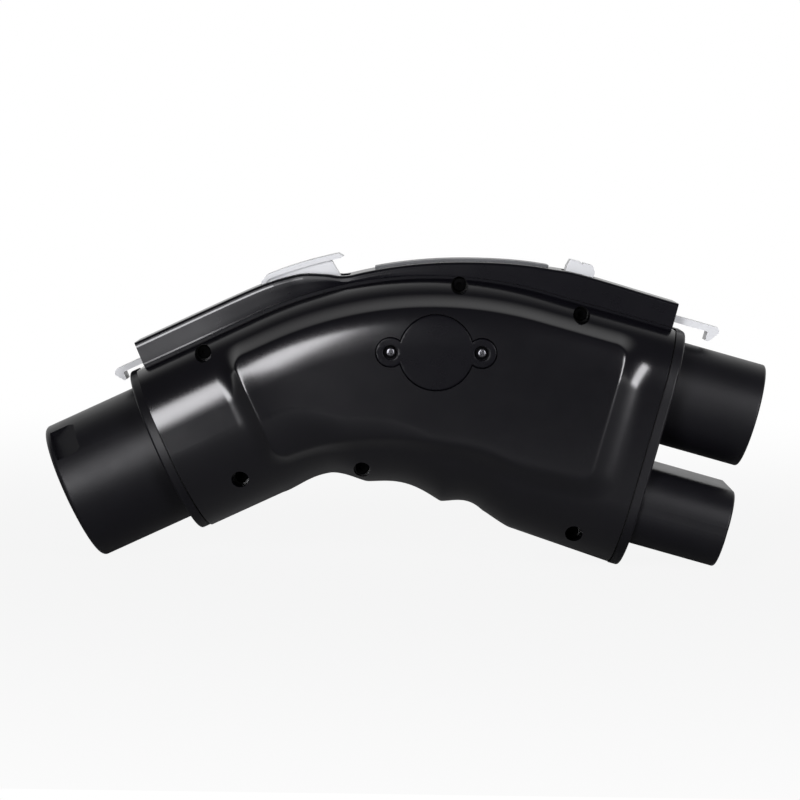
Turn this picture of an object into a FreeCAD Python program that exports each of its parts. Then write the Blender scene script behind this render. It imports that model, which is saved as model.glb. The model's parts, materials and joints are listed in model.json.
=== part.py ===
import FreeCAD, Part
import math
import os
import Sketcher
from FreeCAD import Placement, Rotation
from FreeCAD import Vector as V

# Electric vehicle charging adapter: a bent two-half housing with a round nine-contact
# end on the left and a combined alternating and direct current end on the right.
# +Z is up, X runs along the adapter, Y is across it.  Millimetres.
# The part stands on the front edge of its round barrel and on the lower edge of its
# right flange, and the origin is on the floor under the middle of its bounding box.

SIZES = {
    # centre line: left run, bend, right run
    "bend_radius": 136.0,
    "left_angle": 25.3,
    "right_angle": 15.1,
    "left_run": 55.0,
    "right_run": 56.0,
    # housing section, measured from the centre line
    "half_width": 36.5,
    "crown_height": 36.8,
    "shoulder_radius": 28.0,
    "deck_height": 35.6,
    "neck_depth": 36.4,
    "ridge_two_depth": 45.7,
    "ridge_three_depth": 57.3,
    "ridge_four_depth": 62.1,
    "heel_depth": 64.7,
    "ridge_one_station": 33.0,
    "ridge_two_station": 73.0,
    "ridge_three_station": 120.0,
    "ridge_four_station": 163.5,
    "groove_one_depth": 4.4,
    "groove_two_depth": 1.9,
    "groove_three_depth": 3.4,
    "neck_corner": 36.0,
    "heel_corner": 28.0,
    "wall": 3.0,
    "end_wall": 4.0,
    # raised side panel
    "panel_rise": 4.0,
    "panel_start": 39.0,
    "panel_end": 37.5,
    "panel_top": 26.0,
    "panel_corner": 5.0,
    "panel_edge_round": 1.4,
    # housing screws
    "boss_radius": 5.0,
    "screw_access_radius": 3.45,
    "screw_seat": 14.0,
    "screw_radius": 1.5,
    "screw_head_radius": 2.8,
    "screw_head_height": 2.4,
    "screw_reach": 12.0,
    # service cap
    "cap_height": 6.5,
    "cap_radius": 15.2,
    "cap_ear_offset": 18.5,
    "cap_ear_radius": 5.5,
    "cap_neck_half": 3.6,
    "cap_seat": 34.5,
    "cap_sink": 0.15,
    "service_hole_radius": 11.8,
    "seal_inner_radius": 12.2,
    "seal_outer_radius": 14.4,
    "seal_thickness": 0.8,
    "cap_screw_recess_radius": 3.05,
    "cap_screw_recess_depth": 2.6,
    "cap_screw_head_radius": 2.6,
    "cap_screw_head_height": 1.7,
    "cap_screw_radius": 1.2,
    "cap_screw_reach": 8.0,
    # round end
    "flange_gap": 0.6,
    "flange_thickness": 4.0,
    "round_flange_radius": 36.0,
    "shroud_radius": 29.5,
    "shroud_wall": 4.0,
    "shroud_reach": 47.0,
    "mouth_round": 2.0,
    "throat_radius": 22.0,
    "neck_radius": 26.5,
    "rim_radius": 29.5,
    "rim_thickness": 3.0,
    "insert_front": 13.0,
    "insert_hub_rear": 9.0,
    "pocket_front": 44.0,
    "pocket_length": 10.5,
    "pocket_width": 17.0,
    "pocket_angle": 50.0,
    "pocket_depth": 3.0,
    "pocket_slope": 12.0,
    "pin_reach": 38.0,
    "pin_tail": 16.0,
    "dc_pin_radius": 6.0,
    "dc_pin_offset": 12.5,
    "earth_pin_radius": 3.0,
    "earth_pin_drop": 14.5,
    "small_pin_radius": 1.5,
    "auxiliary_offset": 10.5,
    "auxiliary_drop": 15.5,
    "signal_inner_offset": 4.5,
    "signal_inner_height": 12.5,
    "signal_outer_offset": 12.5,
    "signal_outer_height": 14.0,
    # combined end
    "head_top": 36.1,
    "head_bottom": 65.0,
    "head_edge_round": 1.0,
    "head_top_corner": 27.0,
    "barrel_reach": 98.0,
    "upper_barrel_radius": 21.9,
    "upper_barrel_height": 9.6,
    "barrel_wall": 2.6,
    "lower_barrel_drop": 37.5,
    "lower_barrel_half_height": 16.2,
    "lower_barrel_half_width": 33.0,
    "lower_barrel_corner": 14.5,
    "face_recess": 2.5,
    "mouth_edge_round": 1.0,
    "collar_inset": 8.0,
    "rim_inset": 4.0,
    "upper_hub_radius": 17.0,
    "lower_hub_inset": 4.0,
    "dc_socket_radius": 4.0,
    "dc_socket_offset": 13.5,
    "socket_wall": 1.4,
    "earth_socket_radius": 2.4,
    "earth_socket_drop": 9.5,
    "pilot_socket_radius": 1.5,
    "pilot_socket_offset": 11.5,
    "pilot_socket_drop": 4.5,
    "line_hole_radius": 3.2,
    "line_hole_offset": 7.5,
    "line_hole_height": 6.0,
    "hub_length": 12.0,
    "socket_recess": 1.0,
    "socket_tail": 5.0,
    # latch cover
    "cover_start": 3.6,
    "cover_end": 54.4,
    "cover_half_width": 17.0,
    "cover_foot": 1.1,
    "cover_foot_inset": 0.6,
    "cover_lean_left": 3.2,
    "cover_lean_right": 0.8,
    "cover_edge_round": 1.6,
    "cover_wall": 2.0,
    "cover_channel": 12.0,
    "cover_left_rise": 11.1,
    "cover_hump_rise": 10.0,
    "cover_dip_rise": 4.6,
    "cover_crown_rise": 7.3,
    "cover_right_rise": 11.7,
    "inlay_start": 95.5,
    "inlay_end": 150.0,
    "inlay_thickness": 1.1,
    "inlay_half_width": 8.0,
    # latches
    "lever_half_width": 6.5,
    "left_lever_thickness": 2.2,
    "right_lever_thickness": 2.7,
    "pivot_radius": 1.6,
    "pivot_fit": 0.06,
    "pivot_boss": 3.3,
    "lug_gap": 0.4,
    "lug_thickness": 3.0,
    "left_pivot_along": 38.0,
    "left_pivot_height": 4.0,
    "right_pivot_along": 43.0,
    "right_pivot_height": 4.8,
    "left_arm_drop": 2.2,
    "right_arm_drop": 1.7,
    "left_hook_tip": 10.3,
    "left_hook_back": 6.4,
    "left_hook_drop": 3.3,
    "right_hook_tip": 75.1,
    "right_hook_back": 70.2,
    "right_hook_drop": 3.8,
    "pad_start": 61.5,
    "pad_end": 95.6,
    "pad_half_width": 8.0,
    "pad_thickness": 2.0,
    "slot_gap": 0.8,
    "button_start": 6.2,
    "button_length": 12.0,
    "button_half_width": 6.0,
    "button_rise": 11.6,
    "button_slot_gap": 1.4,
    "spring_radius": 2.4,
    "spring_wire": 0.7,
    "spring_turns": 4.5,
    "spring_hole_radius": 4.3,
    "left_spring_along": 74.0,
    "right_spring_along": 13.2,
    # inner parts
    "busbar_offset": 13.0,
    "busbar_width": 12.0,
    "busbar_thickness": 3.0,
    "busbar_bend": 12.0,
    "board_offset": 20.0,
    "board_length": 68.0,
    "board_height": 30.0,
    "board_thickness": 1.6,
    "post_radius": 3.0,
    "header_length": 6.0,
    "header_height": 20.0,
    "header_depth": 6.0,
    "port_radius": 8.0,
    "port_depth": 9.0,
    "cell_radius": 9.2,
    "cell_length": 65.0,
    "cell_offset": 22.5,
    "cell_plate": 2.6,
    "lead_radius": 0.8,
    "strap_radius": 2.0,
    "sensor_along": 24.0,
    "sensor_length": 8.0,
    "sensor_half_width": 2.5,
    "sensor_height": 3.0,
    # clearances
    "fit_gap": 0.1,
    "seam_gap": 0.3,
}

doc = FreeCAD.newDocument("charging_adapter")
sheet = doc.addObject("Spreadsheet::Sheet", "dims")
for row, (alias, value) in enumerate(SIZES.items(), start=1):
    sheet.set(f"A{row}", alias)
    sheet.set(f"B{row}", str(value))
    sheet.setAlias(f"B{row}", alias)
doc.recompute()


def size(alias):
    return float(sheet.get(alias))


nodes = []
Y_AXIS = V(0, 1, 0)
TURN_TO_X = Rotation(Y_AXIS, 90)
TURN_TO_Y = Rotation(V(1, 0, 0), -90)


def keep(shape_object, label, frame=None):
    """Name a finished sub-part and put it in its end's frame."""
    shape_object.Label = label
    if frame is not None:
        shape_object.Placement = frame.multiply(shape_object.Placement)
    nodes.append(shape_object)
    return shape_object


def feature(label, shape, frame=None):
    """A sub-part whose form is worked out in code."""
    made = doc.addObject("Part::Feature", label + "_solid")
    made.Shape = shape
    if frame is not None:
        made.Placement = frame.multiply(shape.Placement)
    made.Label = label
    nodes.append(made)
    return made


# The centre line, and the frames of its two ends

BEND = size("bend_radius")
LEFT_RUN = size("left_run")
RIGHT_RUN = size("right_run")
LEFT = math.radians(size("left_angle"))
RIGHT = math.radians(size("right_angle"))
ARC_LENGTH = BEND * (LEFT + RIGHT)
LINE_LENGTH = LEFT_RUN + ARC_LENGTH + RIGHT_RUN


def bend_frame(angle):
    """Frame on the arc, angle in radians from its top, positive to the right."""
    return Placement(
        V(BEND * math.sin(angle), 0, BEND * math.cos(angle)),
        Rotation(Y_AXIS, math.degrees(angle)),
    )


def station_frame(station):
    """Frame at a length along the centre line: X along it, Z away from the bend's centre."""
    if station < LEFT_RUN:
        start = bend_frame(-LEFT)
        shift = station - LEFT_RUN
    elif station <= LEFT_RUN + ARC_LENGTH:
        start = bend_frame((station - LEFT_RUN) / BEND - LEFT)
        shift = 0.0
    else:
        start = bend_frame(RIGHT)
        shift = station - LEFT_RUN - ARC_LENGTH
    return start.multiply(Placement(V(shift, 0, 0), Rotation()))


def rest_frame():
    """Turn and lift that stand the part on its barrel's edge and its flange's edge."""
    seam_left = station_frame(0)
    tangent_right = bend_frame(RIGHT)
    round_left = size("mouth_round")
    round_right = size("head_edge_round")
    flange_face = RIGHT_RUN + size("flange_gap") + size("flange_thickness")
    left_foot = seam_left.multVec(
        V(round_left - size("shroud_reach"), 0, round_left - size("shroud_radius"))
    )
    right_foot = tangent_right.multVec(
        V(flange_face - round_right, 0, round_right - size("head_bottom"))
    )
    span = right_foot - left_foot
    slope = math.atan2(span.z, span.x)
    slope -= math.asin((round_right - round_left) / span.Length)
    turn = Placement(V(), Rotation(Y_AXIS, math.degrees(slope)))
    lift = round_left - turn.multVec(left_foot).z
    left_tip = seam_left.multVec(
        V(round_left - size("shroud_reach"), 0, size("shroud_radius") - round_left)
    )
    barrel_round = size("mouth_edge_round")
    right_tip = tangent_right.multVec(V(
        size("barrel_reach") - barrel_round, 0,
        size("upper_barrel_height") + size("upper_barrel_radius") - barrel_round,
    ))
    lowest_x = turn.multVec(left_tip).x - round_left
    highest_x = turn.multVec(right_tip).x + barrel_round
    shift = -(lowest_x + highest_x) / 2
    return Placement(V(shift, 0, lift), Rotation()).multiply(turn)


REST = rest_frame()
LEFT_END = REST.multiply(station_frame(0))
RIGHT_END = REST.multiply(bend_frame(RIGHT))
BEND_TOP = REST.multiply(bend_frame(0))


# Drawing helpers

def sketch_on(body, name, role, offset=None):
    sketch = body.newObject("Sketcher::SketchObject", name)
    plane = next(o for o in body.Origin.OriginFeatures if o.Role == role)
    sketch.AttachmentSupport = (plane, [""])
    sketch.MapMode = "FlatFace"
    if offset is not None:
        sketch.setExpression("AttachmentOffset.Base.z", offset)
    return sketch


def draw_polygon(sketch, corners):
    """Closed outline whose corners are pairs of expressions."""
    places = [
        V(float(sheet_value(x)), float(sheet_value(y)), 0) for x, y in corners
    ]
    for index, place in enumerate(places):
        following = places[(index + 1) % len(places)]
        sketch.addGeometry(Part.LineSegment(place, following), False)
    for index in range(len(places)):
        following = (index + 1) % len(places)
        sketch.addConstraint(Sketcher.Constraint("Coincident", index, 2, following, 1))
    for index, (x_size, y_size) in enumerate(corners):
        fix_point(sketch, index, 1, places[index], x_size, y_size)


def sheet_value(expression):
    """Value of an expression of sheet sizes, used to start a sketch near its solution."""
    return sheet.evalExpression(expression.replace("dims.", ""))


def fix_point(sketch, geometry, end, place, x_size, y_size):
    """Fix a point of a sketch at two sizes from its origin."""
    for kind, number, expression in (
        ("DistanceX", place.x, x_size),
        ("DistanceY", place.y, y_size),
    ):
        index = sketch.addConstraint(Sketcher.Constraint(kind, -1, 1, geometry, end, number))
        sketch.setExpression(f"Constraints[{index}]", expression)


def draw_circle(sketch, radius, x_size="0", y_size="0"):
    place = V(sheet_value(x_size), sheet_value(y_size), 0)
    reach = sheet_value(radius)
    circle = sketch.addGeometry(Part.Circle(place, V(0, 0, 1), reach), False)
    index = sketch.addConstraint(Sketcher.Constraint("Radius", circle, reach))
    sketch.setExpression(f"Constraints[{index}]", radius)
    fix_point(sketch, circle, 3, place, x_size, y_size)


def draw_rounded(sketch, half_width, top, bottom, top_corner, bottom_corner):
    """Rounded outline across the axis: half width, height above and depth below it."""
    hw = sheet_value(half_width)
    up = sheet_value(top)
    down = sheet_value(bottom)
    tc = sheet_value(top_corner)
    bc = sheet_value(bottom_corner)
    corners = [(hw, up, tc), (-hw, up, tc), (-hw, -down, bc), (hw, -down, bc)]
    arcs = []
    for quarter, (x, y, corner) in enumerate(corners):
        centre = V(x - math.copysign(corner, x), y - math.copysign(corner, y), 0)
        circle = Part.Circle(centre, V(0, 0, 1), corner)
        start = quarter * math.pi / 2
        arcs.append(sketch.addGeometry(Part.ArcOfCircle(circle, start, start + math.pi / 2), False))
    lines = []
    for quarter in range(4):
        leaving = sketch.getPoint(arcs[quarter], 2)
        entering = sketch.getPoint(arcs[(quarter + 1) % 4], 1)
        lines.append(sketch.addGeometry(Part.LineSegment(leaving, entering), False))
    for quarter, line in enumerate(lines):
        sketch.addConstraint(Sketcher.Constraint("Tangent", arcs[quarter], 2, line, 1))
        sketch.addConstraint(Sketcher.Constraint("Tangent", line, 2, arcs[(quarter + 1) % 4], 1))
        side = "Vertical" if quarter % 2 else "Horizontal"
        sketch.addConstraint(Sketcher.Constraint(side, line))
    for arc, expression in zip(arcs, (top_corner, top_corner, bottom_corner, bottom_corner)):
        index = sketch.addConstraint(Sketcher.Constraint("Radius", arc, sheet_value(expression)))
        sketch.setExpression(f"Constraints[{index}]", expression)
    sides = (
        ("DistanceY", lines[0], up, top),
        ("DistanceX", lines[1], -hw, f"-({half_width})"),
        ("DistanceY", lines[2], -down, f"-({bottom})"),
        ("DistanceX", lines[3], hw, half_width),
    )
    for kind, line, number, expression in sides:
        index = sketch.addConstraint(Sketcher.Constraint(kind, -1, 1, line, 1, number))
        sketch.setExpression(f"Constraints[{index}]", expression)


def body_named(name):
    return doc.addObject("PartDesign::Body", name)


def pad(body, sketch, length, backwards=False):
    made = body.newObject("PartDesign::Pad", sketch.Name + "_pad")
    made.Profile = sketch
    made.setExpression("Length", length)
    made.Reversed = backwards
    return made


def pocket(body, sketch, length, forwards=False):
    made = body.newObject("PartDesign::Pocket", sketch.Name + "_pocket")
    made.Profile = sketch
    made.setExpression("Length", length)
    made.Reversed = forwards
    return made


def turned(body, sketch):
    """Revolve a profile about its own horizontal axis."""
    made = body.newObject("PartDesign::Revolution", sketch.Name + "_turned")
    made.Profile = sketch
    made.ReferenceAxis = (sketch, ["H_Axis"])
    made.Angle = 360
    return made


# Housing form: sections across the centre line, joined by a loft

DECK = size("deck_height")
SHOULDER_Y = size("half_width") - size("shoulder_radius")
SHOULDER_Z = size("crown_height") - size("shoulder_radius")
RIDGES = (
    (size("ridge_one_station"), size("neck_depth")),
    (size("ridge_two_station"), size("ridge_two_depth")),
    (size("ridge_three_station"), size("ridge_three_depth")),
    (size("ridge_four_station"), size("ridge_four_depth")),
)
GROOVES = (size("groove_one_depth"), size("groove_two_depth"), size("groove_three_depth"))
GROOVE_SHARPNESS = 1.4
SECTION_SPACING = 8.6
LOFT_DEGREE = 5


def blend(value, start, end, low, high):
    share = min(max((value - start) / (end - start), 0.0), 1.0)
    return low + (high - low) * share


def belly_depth(station):
    """Depth of the lower side, with the finger grooves between its ridges."""
    if station <= RIDGES[0][0]:
        return RIDGES[0][1]
    for (start, depth), (end, next_depth), groove in zip(RIDGES, RIDGES[1:], GROOVES):
        if station <= end:
            share = (station - start) / (end - start)
            hollow = groove * abs(math.sin(math.pi * share)) ** GROOVE_SHARPNESS
            return blend(station, start, end, depth, next_depth) - hollow
    return blend(station, RIDGES[-1][0], LINE_LENGTH, RIDGES[-1][1], size("heel_depth"))


def belly_corner(station):
    return blend(
        station, RIDGES[0][0], RIDGES[2][0], size("neck_corner"), size("heel_corner")
    )


def closed_wire(points):
    """Wire through (kind, point, ...) steps: a line to a point or an arc by a middle point."""
    edges = []
    last = points[0]
    for step in points[1:]:
        if len(step) == 1:
            edges.append(Part.makeLine(last, step[0]))
            last = step[0]
        else:
            middle, end = step
            edges.append(Part.Arc(last, middle, end).toShape())
            last = end
    return Part.Wire(edges)


def arc_point(y, z, radius, degrees):
    turn = math.radians(degrees)
    return V(0, y + radius * math.cos(turn), z + radius * math.sin(turn))


def hull_wire(station, inset):
    """Section of the housing, every side moved in by the inset."""
    side = size("half_width") - inset
    shoulder = size("shoulder_radius") - inset
    deck = DECK - inset
    corner = belly_corner(station) - inset
    foot = belly_depth(station) - inset
    deck_angle = math.degrees(math.asin((deck - SHOULDER_Z) / shoulder))
    low_y = side - corner
    low_z = corner - foot
    right = [
        (arc_point(SHOULDER_Y, SHOULDER_Z, shoulder, deck_angle / 2), V(0, side, SHOULDER_Z)),
        (V(0, side, low_z),),
        (arc_point(low_y, low_z, corner, -45), V(0, low_y, -foot)),
        (V(0, -low_y, -foot),),
        (arc_point(-low_y, low_z, corner, -135), V(0, -side, low_z)),
        (V(0, -side, SHOULDER_Z),),
        (
            arc_point(-SHOULDER_Y, SHOULDER_Z, shoulder, 180 - deck_angle / 2),
            arc_point(-SHOULDER_Y, SHOULDER_Z, shoulder, 180 - deck_angle),
        ),
    ]
    start = arc_point(SHOULDER_Y, SHOULDER_Z, shoulder, deck_angle)
    wire = closed_wire([start] + right + [(start,)])
    wire.Placement = station_frame(station)
    return wire


def even_stations(start, end, spacing):
    count = max(2, round((end - start) / spacing))
    return [start + (end - start) * step / count for step in range(count + 1)]


def loft(wire_at, stations):
    return Part.makeLoft([wire_at(station) for station in stations], True, False, False, LOFT_DEGREE)


def housing_form(inset, start, end):
    stations = even_stations(start, end, SECTION_SPACING)
    return loft(lambda station: hull_wire(station, inset), stations)


def along_line(station, height):
    """Point of the side view at a station and a height above the centre line."""
    return station_frame(station).multVec(V(0, 0, height))


RIGHT_TANGENT_STATION = LEFT_RUN + ARC_LENGTH
BEND_TOP_STATION = LEFT_RUN + BEND * LEFT
PANEL_LEFT = size("panel_start")
PANEL_RIGHT = RIGHT_TANGENT_STATION + size("panel_end")
PANEL_TOP = size("panel_top")
# stations and depths of the panel's lower edge, from left to right
PANEL_FOOT = (
    (PANEL_LEFT, 20.4),
    (RIDGES[1][0], 24.6),
    (RIDGES[2][0] - 10, 29.5),
    (RIDGES[3][0], 33.8),
    (PANEL_RIGHT, 32.7),
)


def panel_prism():
    """The side panel's outline, through the whole housing."""
    top_left = along_line(PANEL_LEFT, PANEL_TOP)
    arc_left = along_line(LEFT_RUN, PANEL_TOP)
    arc_middle = along_line(BEND_TOP_STATION, PANEL_TOP)
    arc_right = along_line(RIGHT_TANGENT_STATION, PANEL_TOP)
    top_right = along_line(PANEL_RIGHT, PANEL_TOP)
    foot = [along_line(station, -depth) for station, depth in PANEL_FOOT]
    foot_curve = Part.BSplineCurve()
    foot_curve.interpolate(foot)
    edges = [
        Part.makeLine(top_left, arc_left),
        Part.Arc(arc_left, arc_middle, arc_right).toShape(),
        Part.makeLine(arc_right, top_right),
        Part.makeLine(top_right, foot[-1]),
        foot_curve.toShape(),
        Part.makeLine(foot[0], top_left),
    ]
    face = Part.Face(Part.Wire(Part.sortEdges(edges)[0]))
    reach = size("half_width") + size("panel_rise") + 1
    prism = face.extrude(V(0, 2 * reach, 0))
    prism.translate(V(0, -reach, 0))
    corners = [top_left, top_right, foot[0], foot[-1]]
    upright = [
        edge for edge in prism.Edges
        if edge.Length > 2 * reach - 0.01
        and any((V(edge.Vertexes[0].X, 0, edge.Vertexes[0].Z) - corner).Length < 0.01
                for corner in corners)
    ]
    return prism.makeFillet(size("panel_corner"), upright)


HIGH = 400.0


def near_half_space():
    """Everything on the side that faces the viewer, Y below zero."""
    return Part.makeBox(4 * HIGH, HIGH, 4 * HIGH, V(-2 * HIGH, -HIGH, -2 * HIGH))


def across(station, height, radius, y_from, y_to):
    """Cylinder along Y at a point of the side view."""
    centre = along_line(station, height)
    return Part.makeCylinder(radius, y_to - y_from, V(centre.x, y_from, centre.z), V(0, 1, 0))


def upright_block(frame, x_from, x_to, y_from, y_to, z_from, z_to):
    block = Part.makeBox(x_to - x_from, y_to - y_from, z_to - z_from, V(x_from, y_from, z_from))
    block.Placement = frame.multiply(block.Placement)
    return block


def fused(shapes):
    first, *others = shapes
    return first.multiFuse(others) if others else first


# Housing screws: station along the centre line and height of each

SCREW_PLACES = (
    (28.7, DECK - 4.3),
    (BEND_TOP_STATION + 7.6, DECK - 2.4),
    (RIGHT_TANGENT_STATION + 16.4, DECK - 4.0),
    (RIGHT_TANGENT_STATION + 38.0, 7.6 - belly_depth(RIGHT_TANGENT_STATION + 38.0)),
    (RIDGES[1][0], 7.1 - belly_depth(RIDGES[1][0])),
    (21.1, 14.6 - size("neck_depth")),
)
FACE = size("half_width") + size("panel_rise")
PILOT_RADIUS = size("screw_radius") + size("fit_gap") / 2
LEVER_HALF = size("lever_half_width")
LUG_START = LEVER_HALF + size("lug_gap")
LUG_END = LUG_START + size("lug_thickness")
LEFT_PIVOT = (size("left_pivot_along"), DECK + size("left_pivot_height"))
RIGHT_PIVOT = (size("right_pivot_along"), DECK + size("right_pivot_height"))
LEFT_FRAME = station_frame(0)
RIGHT_FRAME = bend_frame(RIGHT)
TOP_FRAME = bend_frame(0)
SPRING_SEAT_RISE = 1.2
SPRING_TIP = 9.0


def side_profile(frame, steps, y_from, y_to):
    """Solid of a side-view outline given in an end's frame, from one Y to another."""
    points = [tuple(V(x, y_from, z) for x, z in step) for step in steps]
    wire = closed_wire([points[0][0]] + points[1:] + [(points[0][0],)])
    solid = Part.Face(wire).extrude(V(0, y_to - y_from, 0))
    solid.Placement = frame.multiply(solid.Placement)
    return solid


def pivot_lug(frame, pivot, y_from):
    """Ear on the deck that holds one end of a latch pin."""
    along, height = pivot
    reach = size("pivot_boss")
    width = size("lug_thickness")
    steps = [
        ((along - reach, DECK - 1),),
        ((along + reach, DECK - 1),),
        ((along + reach, height),),
        ((along, height + reach), (along - reach, height)),
    ]
    ear = side_profile(frame, steps, y_from, y_from + width)
    hole = Part.makeCylinder(
        size("pivot_radius") + size("pivot_fit") / 2, 3 * width,
        frame.multVec(V(along, y_from - width, height)), V(0, 1, 0),
    )
    return ear.cut(hole)


def spring_foot(frame, along):
    """Point of the deck under a latch spring."""
    station = along if frame is LEFT_FRAME else RIGHT_TANGENT_STATION + along
    return along_line(station, DECK)


def rest_vector():
    """Direction that is upright at rest, in the bend's frame."""
    return REST.Rotation.inverted().multVec(V(0, 0, 1))


UP = rest_vector()


def spring_seat(frame, along):
    foot = spring_foot(frame, along)
    below = 3.0
    return Part.makeCylinder(
        size("spring_radius") + size("spring_wire"), SPRING_SEAT_RISE + below,
        foot - UP * below, UP,
    )


def cap_outline(gap, y_from, y_to):
    """The service cap's outline: a disc with two ears."""
    height = size("cap_height")
    offset = size("cap_ear_offset")
    ear = size("cap_ear_radius") + gap
    neck = size("cap_neck_half") + gap
    depth = y_to - y_from
    parts = [Part.makeCylinder(size("cap_radius") + gap, depth, V(0, y_from, height), V(0, 1, 0))]
    for side in (-1, 1):
        parts.append(Part.makeCylinder(ear, depth, V(side * offset, y_from, height), V(0, 1, 0)))
    parts.append(
        Part.makeBox(2 * offset, depth, 2 * neck, V(-offset, y_from, height - neck))
    )
    outline = fused(parts).removeSplitter()
    outline.Placement = TOP_FRAME.multiply(outline.Placement)
    return outline


def cap_bore(radius, y_from, y_to, x=0.0):
    return Part.makeCylinder(
        radius, y_to - y_from, TOP_FRAME.multVec(V(x, y_from, size("cap_height"))), V(0, 1, 0)
    )


def rim_edges(solid, prism, skin):
    """Outer edges of the raised panel, where the outline meets the raised surface."""
    found = []
    for edge in solid.Edges:
        middle = edge.valueAt((edge.FirstParameter + edge.LastParameter) / 2)
        if middle.y > -1:
            continue
        probe = Part.Vertex(middle)
        on_outline = min(face.distToShape(probe)[0] for face in prism.Faces) < 1e-3
        if on_outline and skin.Shells[0].distToShape(probe)[0] < 1e-3:
            found.append(edge)
    return found


def half_outside():
    """Outer form of the near half, with its raised panel."""
    hull = housing_form(0, 0, LINE_LENGTH)
    skin = housing_form(-size("panel_rise"), PANEL_LEFT - 19, LINE_LENGTH - 8)
    prism = panel_prism()
    whole = hull.fuse(skin.common(prism))
    half = whole.common(near_half_space())
    return half.makeFillet(size("panel_edge_round"), rim_edges(half, prism, skin))


def end_openings():
    """Holes in the two end walls for the necks of the connector ends."""
    gap = size("fit_gap")
    reach = 2 * size("end_wall")
    left = Part.makeCylinder(
        size("neck_radius") + gap, 2 * reach,
        LEFT_FRAME.multVec(V(-reach, 0, 0)), LEFT_FRAME.Rotation.multVec(V(1, 0, 0)),
    )
    inset = size("collar_inset") - gap
    right = rounded_block(
        size("half_width") - inset, size("head_top") - inset, size("head_bottom") - inset,
        size("head_top_corner") - inset, size("heel_corner") - inset,
        RIGHT_RUN - reach, RIGHT_RUN + reach,
    )
    right.Placement = RIGHT_FRAME.multiply(right.Placement)
    return left.fuse(right)


def rounded_block(half_width, top, bottom, top_corner, bottom_corner, x_from, x_to):
    """Block along X with a rounded section."""
    right_top = (half_width - top_corner, top - top_corner)
    right_low = (half_width - bottom_corner, bottom_corner - bottom)
    start = V(0, right_top[0], top)
    steps = [
        start,
        (arc_point(*right_top, top_corner, 45), V(0, half_width, right_top[1])),
        (V(0, half_width, right_low[1]),),
        (arc_point(*right_low, bottom_corner, -45), V(0, right_low[0], -bottom)),
        (V(0, -right_low[0], -bottom),),
        (arc_point(-right_low[0], right_low[1], bottom_corner, -135), V(0, -half_width, right_low[1])),
        (V(0, -half_width, right_top[1]),),
        (arc_point(-right_top[0], right_top[1], top_corner, 135), V(0, -right_top[0], top)),
        (start,),
    ]
    wire = closed_wire(steps)
    wire.translate(V(x_from, 0, 0))
    return Part.Face(wire).extrude(V(x_to - x_from, 0, 0))


def board_posts(outside):
    """Posts of the near half that carry the control board."""
    inset = size("post_radius") + 1
    along = size("board_length") / 2 - inset
    rise = size("board_height") / 2 - inset
    posts = []
    for x in (-along, along):
        for z in (-rise, rise):
            centre = TOP_FRAME.multVec(V(x, 0, z))
            post = Part.makeCylinder(
                size("post_radius"), FACE, V(centre.x, -FACE, centre.z), V(0, 1, 0)
            )
            posts.append(post)
    limit = upright_block(
        TOP_FRAME, -HIGH, HIGH, -FACE, -size("board_offset") - size("board_thickness"), -HIGH, HIGH
    )
    return fused(posts).common(limit).common(outside)


def half_features(outside, side):
    """Bosses, latch ears and spring seats of one half; side is -1 near and 1 far."""
    y_from, y_to = (-FACE, 0) if side < 0 else (0, FACE)
    bosses = [
        across(station, height, size("boss_radius"), y_from, y_to)
        for station, height in SCREW_PLACES
    ]
    inside = [fused(bosses).common(outside)]
    half_box = upright_block(Placement(), -HIGH, HIGH, y_from, y_to, -HIGH, HIGH)
    for frame, pivot, along in (
        (LEFT_FRAME, LEFT_PIVOT, size("left_spring_along")),
        (RIGHT_FRAME, RIGHT_PIVOT, size("right_spring_along")),
    ):
        lug_from = -LUG_END if side < 0 else LUG_START
        inside.append(pivot_lug(frame, pivot, lug_from))
        inside.append(spring_seat(frame, along).common(half_box))
    return inside


def near_shell(outside, cavity, openings):
    solid = outside.cut(cavity)
    cap_rim = cap_outline(3.0, -FACE, 4.0 - size("cap_seat")).common(outside)
    solid = solid.multiFuse(half_features(outside, -1) + [cap_rim, board_posts(outside)])
    seat = -size("screw_seat")
    cuts = [openings]
    for station, height in SCREW_PLACES:
        cuts.append(across(station, height, size("screw_access_radius"), -FACE - 1, seat))
        cuts.append(across(station, height, PILOT_RADIUS, seat - 1, 1))
    cuts.append(cap_outline(size("seam_gap"), -FACE - 1, -size("cap_seat")))
    cuts.append(cap_bore(size("service_hole_radius"), -FACE, 0))
    reach = size("cap_screw_reach")
    for side in (-1, 1):
        cuts.append(cap_bore(
            size("cap_screw_radius") + size("fit_gap") / 2, -FACE, reach - FACE,
            side * size("cap_ear_offset"),
        ))
    return solid.cut(cuts)


def far_shell(outside, cavity, openings):
    solid = outside.cut(cavity).multiFuse(half_features(outside, 1))
    cuts = [openings]
    for station, height in SCREW_PLACES:
        cuts.append(across(station, height, PILOT_RADIUS, -1, size("screw_reach")))
    return solid.cut(cuts)


near_outside = half_outside()
far_outside = near_outside.mirror(V(), V(0, 1, 0))
cavity = housing_form(size("wall"), size("end_wall"), LINE_LENGTH - size("end_wall"))
openings = end_openings()
feature("near_shell", near_shell(near_outside, cavity, openings), REST)
feature("far_shell", far_shell(far_outside, cavity, openings), REST)


# Latch cover along the top

COVER_FROM = size("cover_start")
COVER_TO = RIGHT_TANGENT_STATION + size("cover_end")
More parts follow.
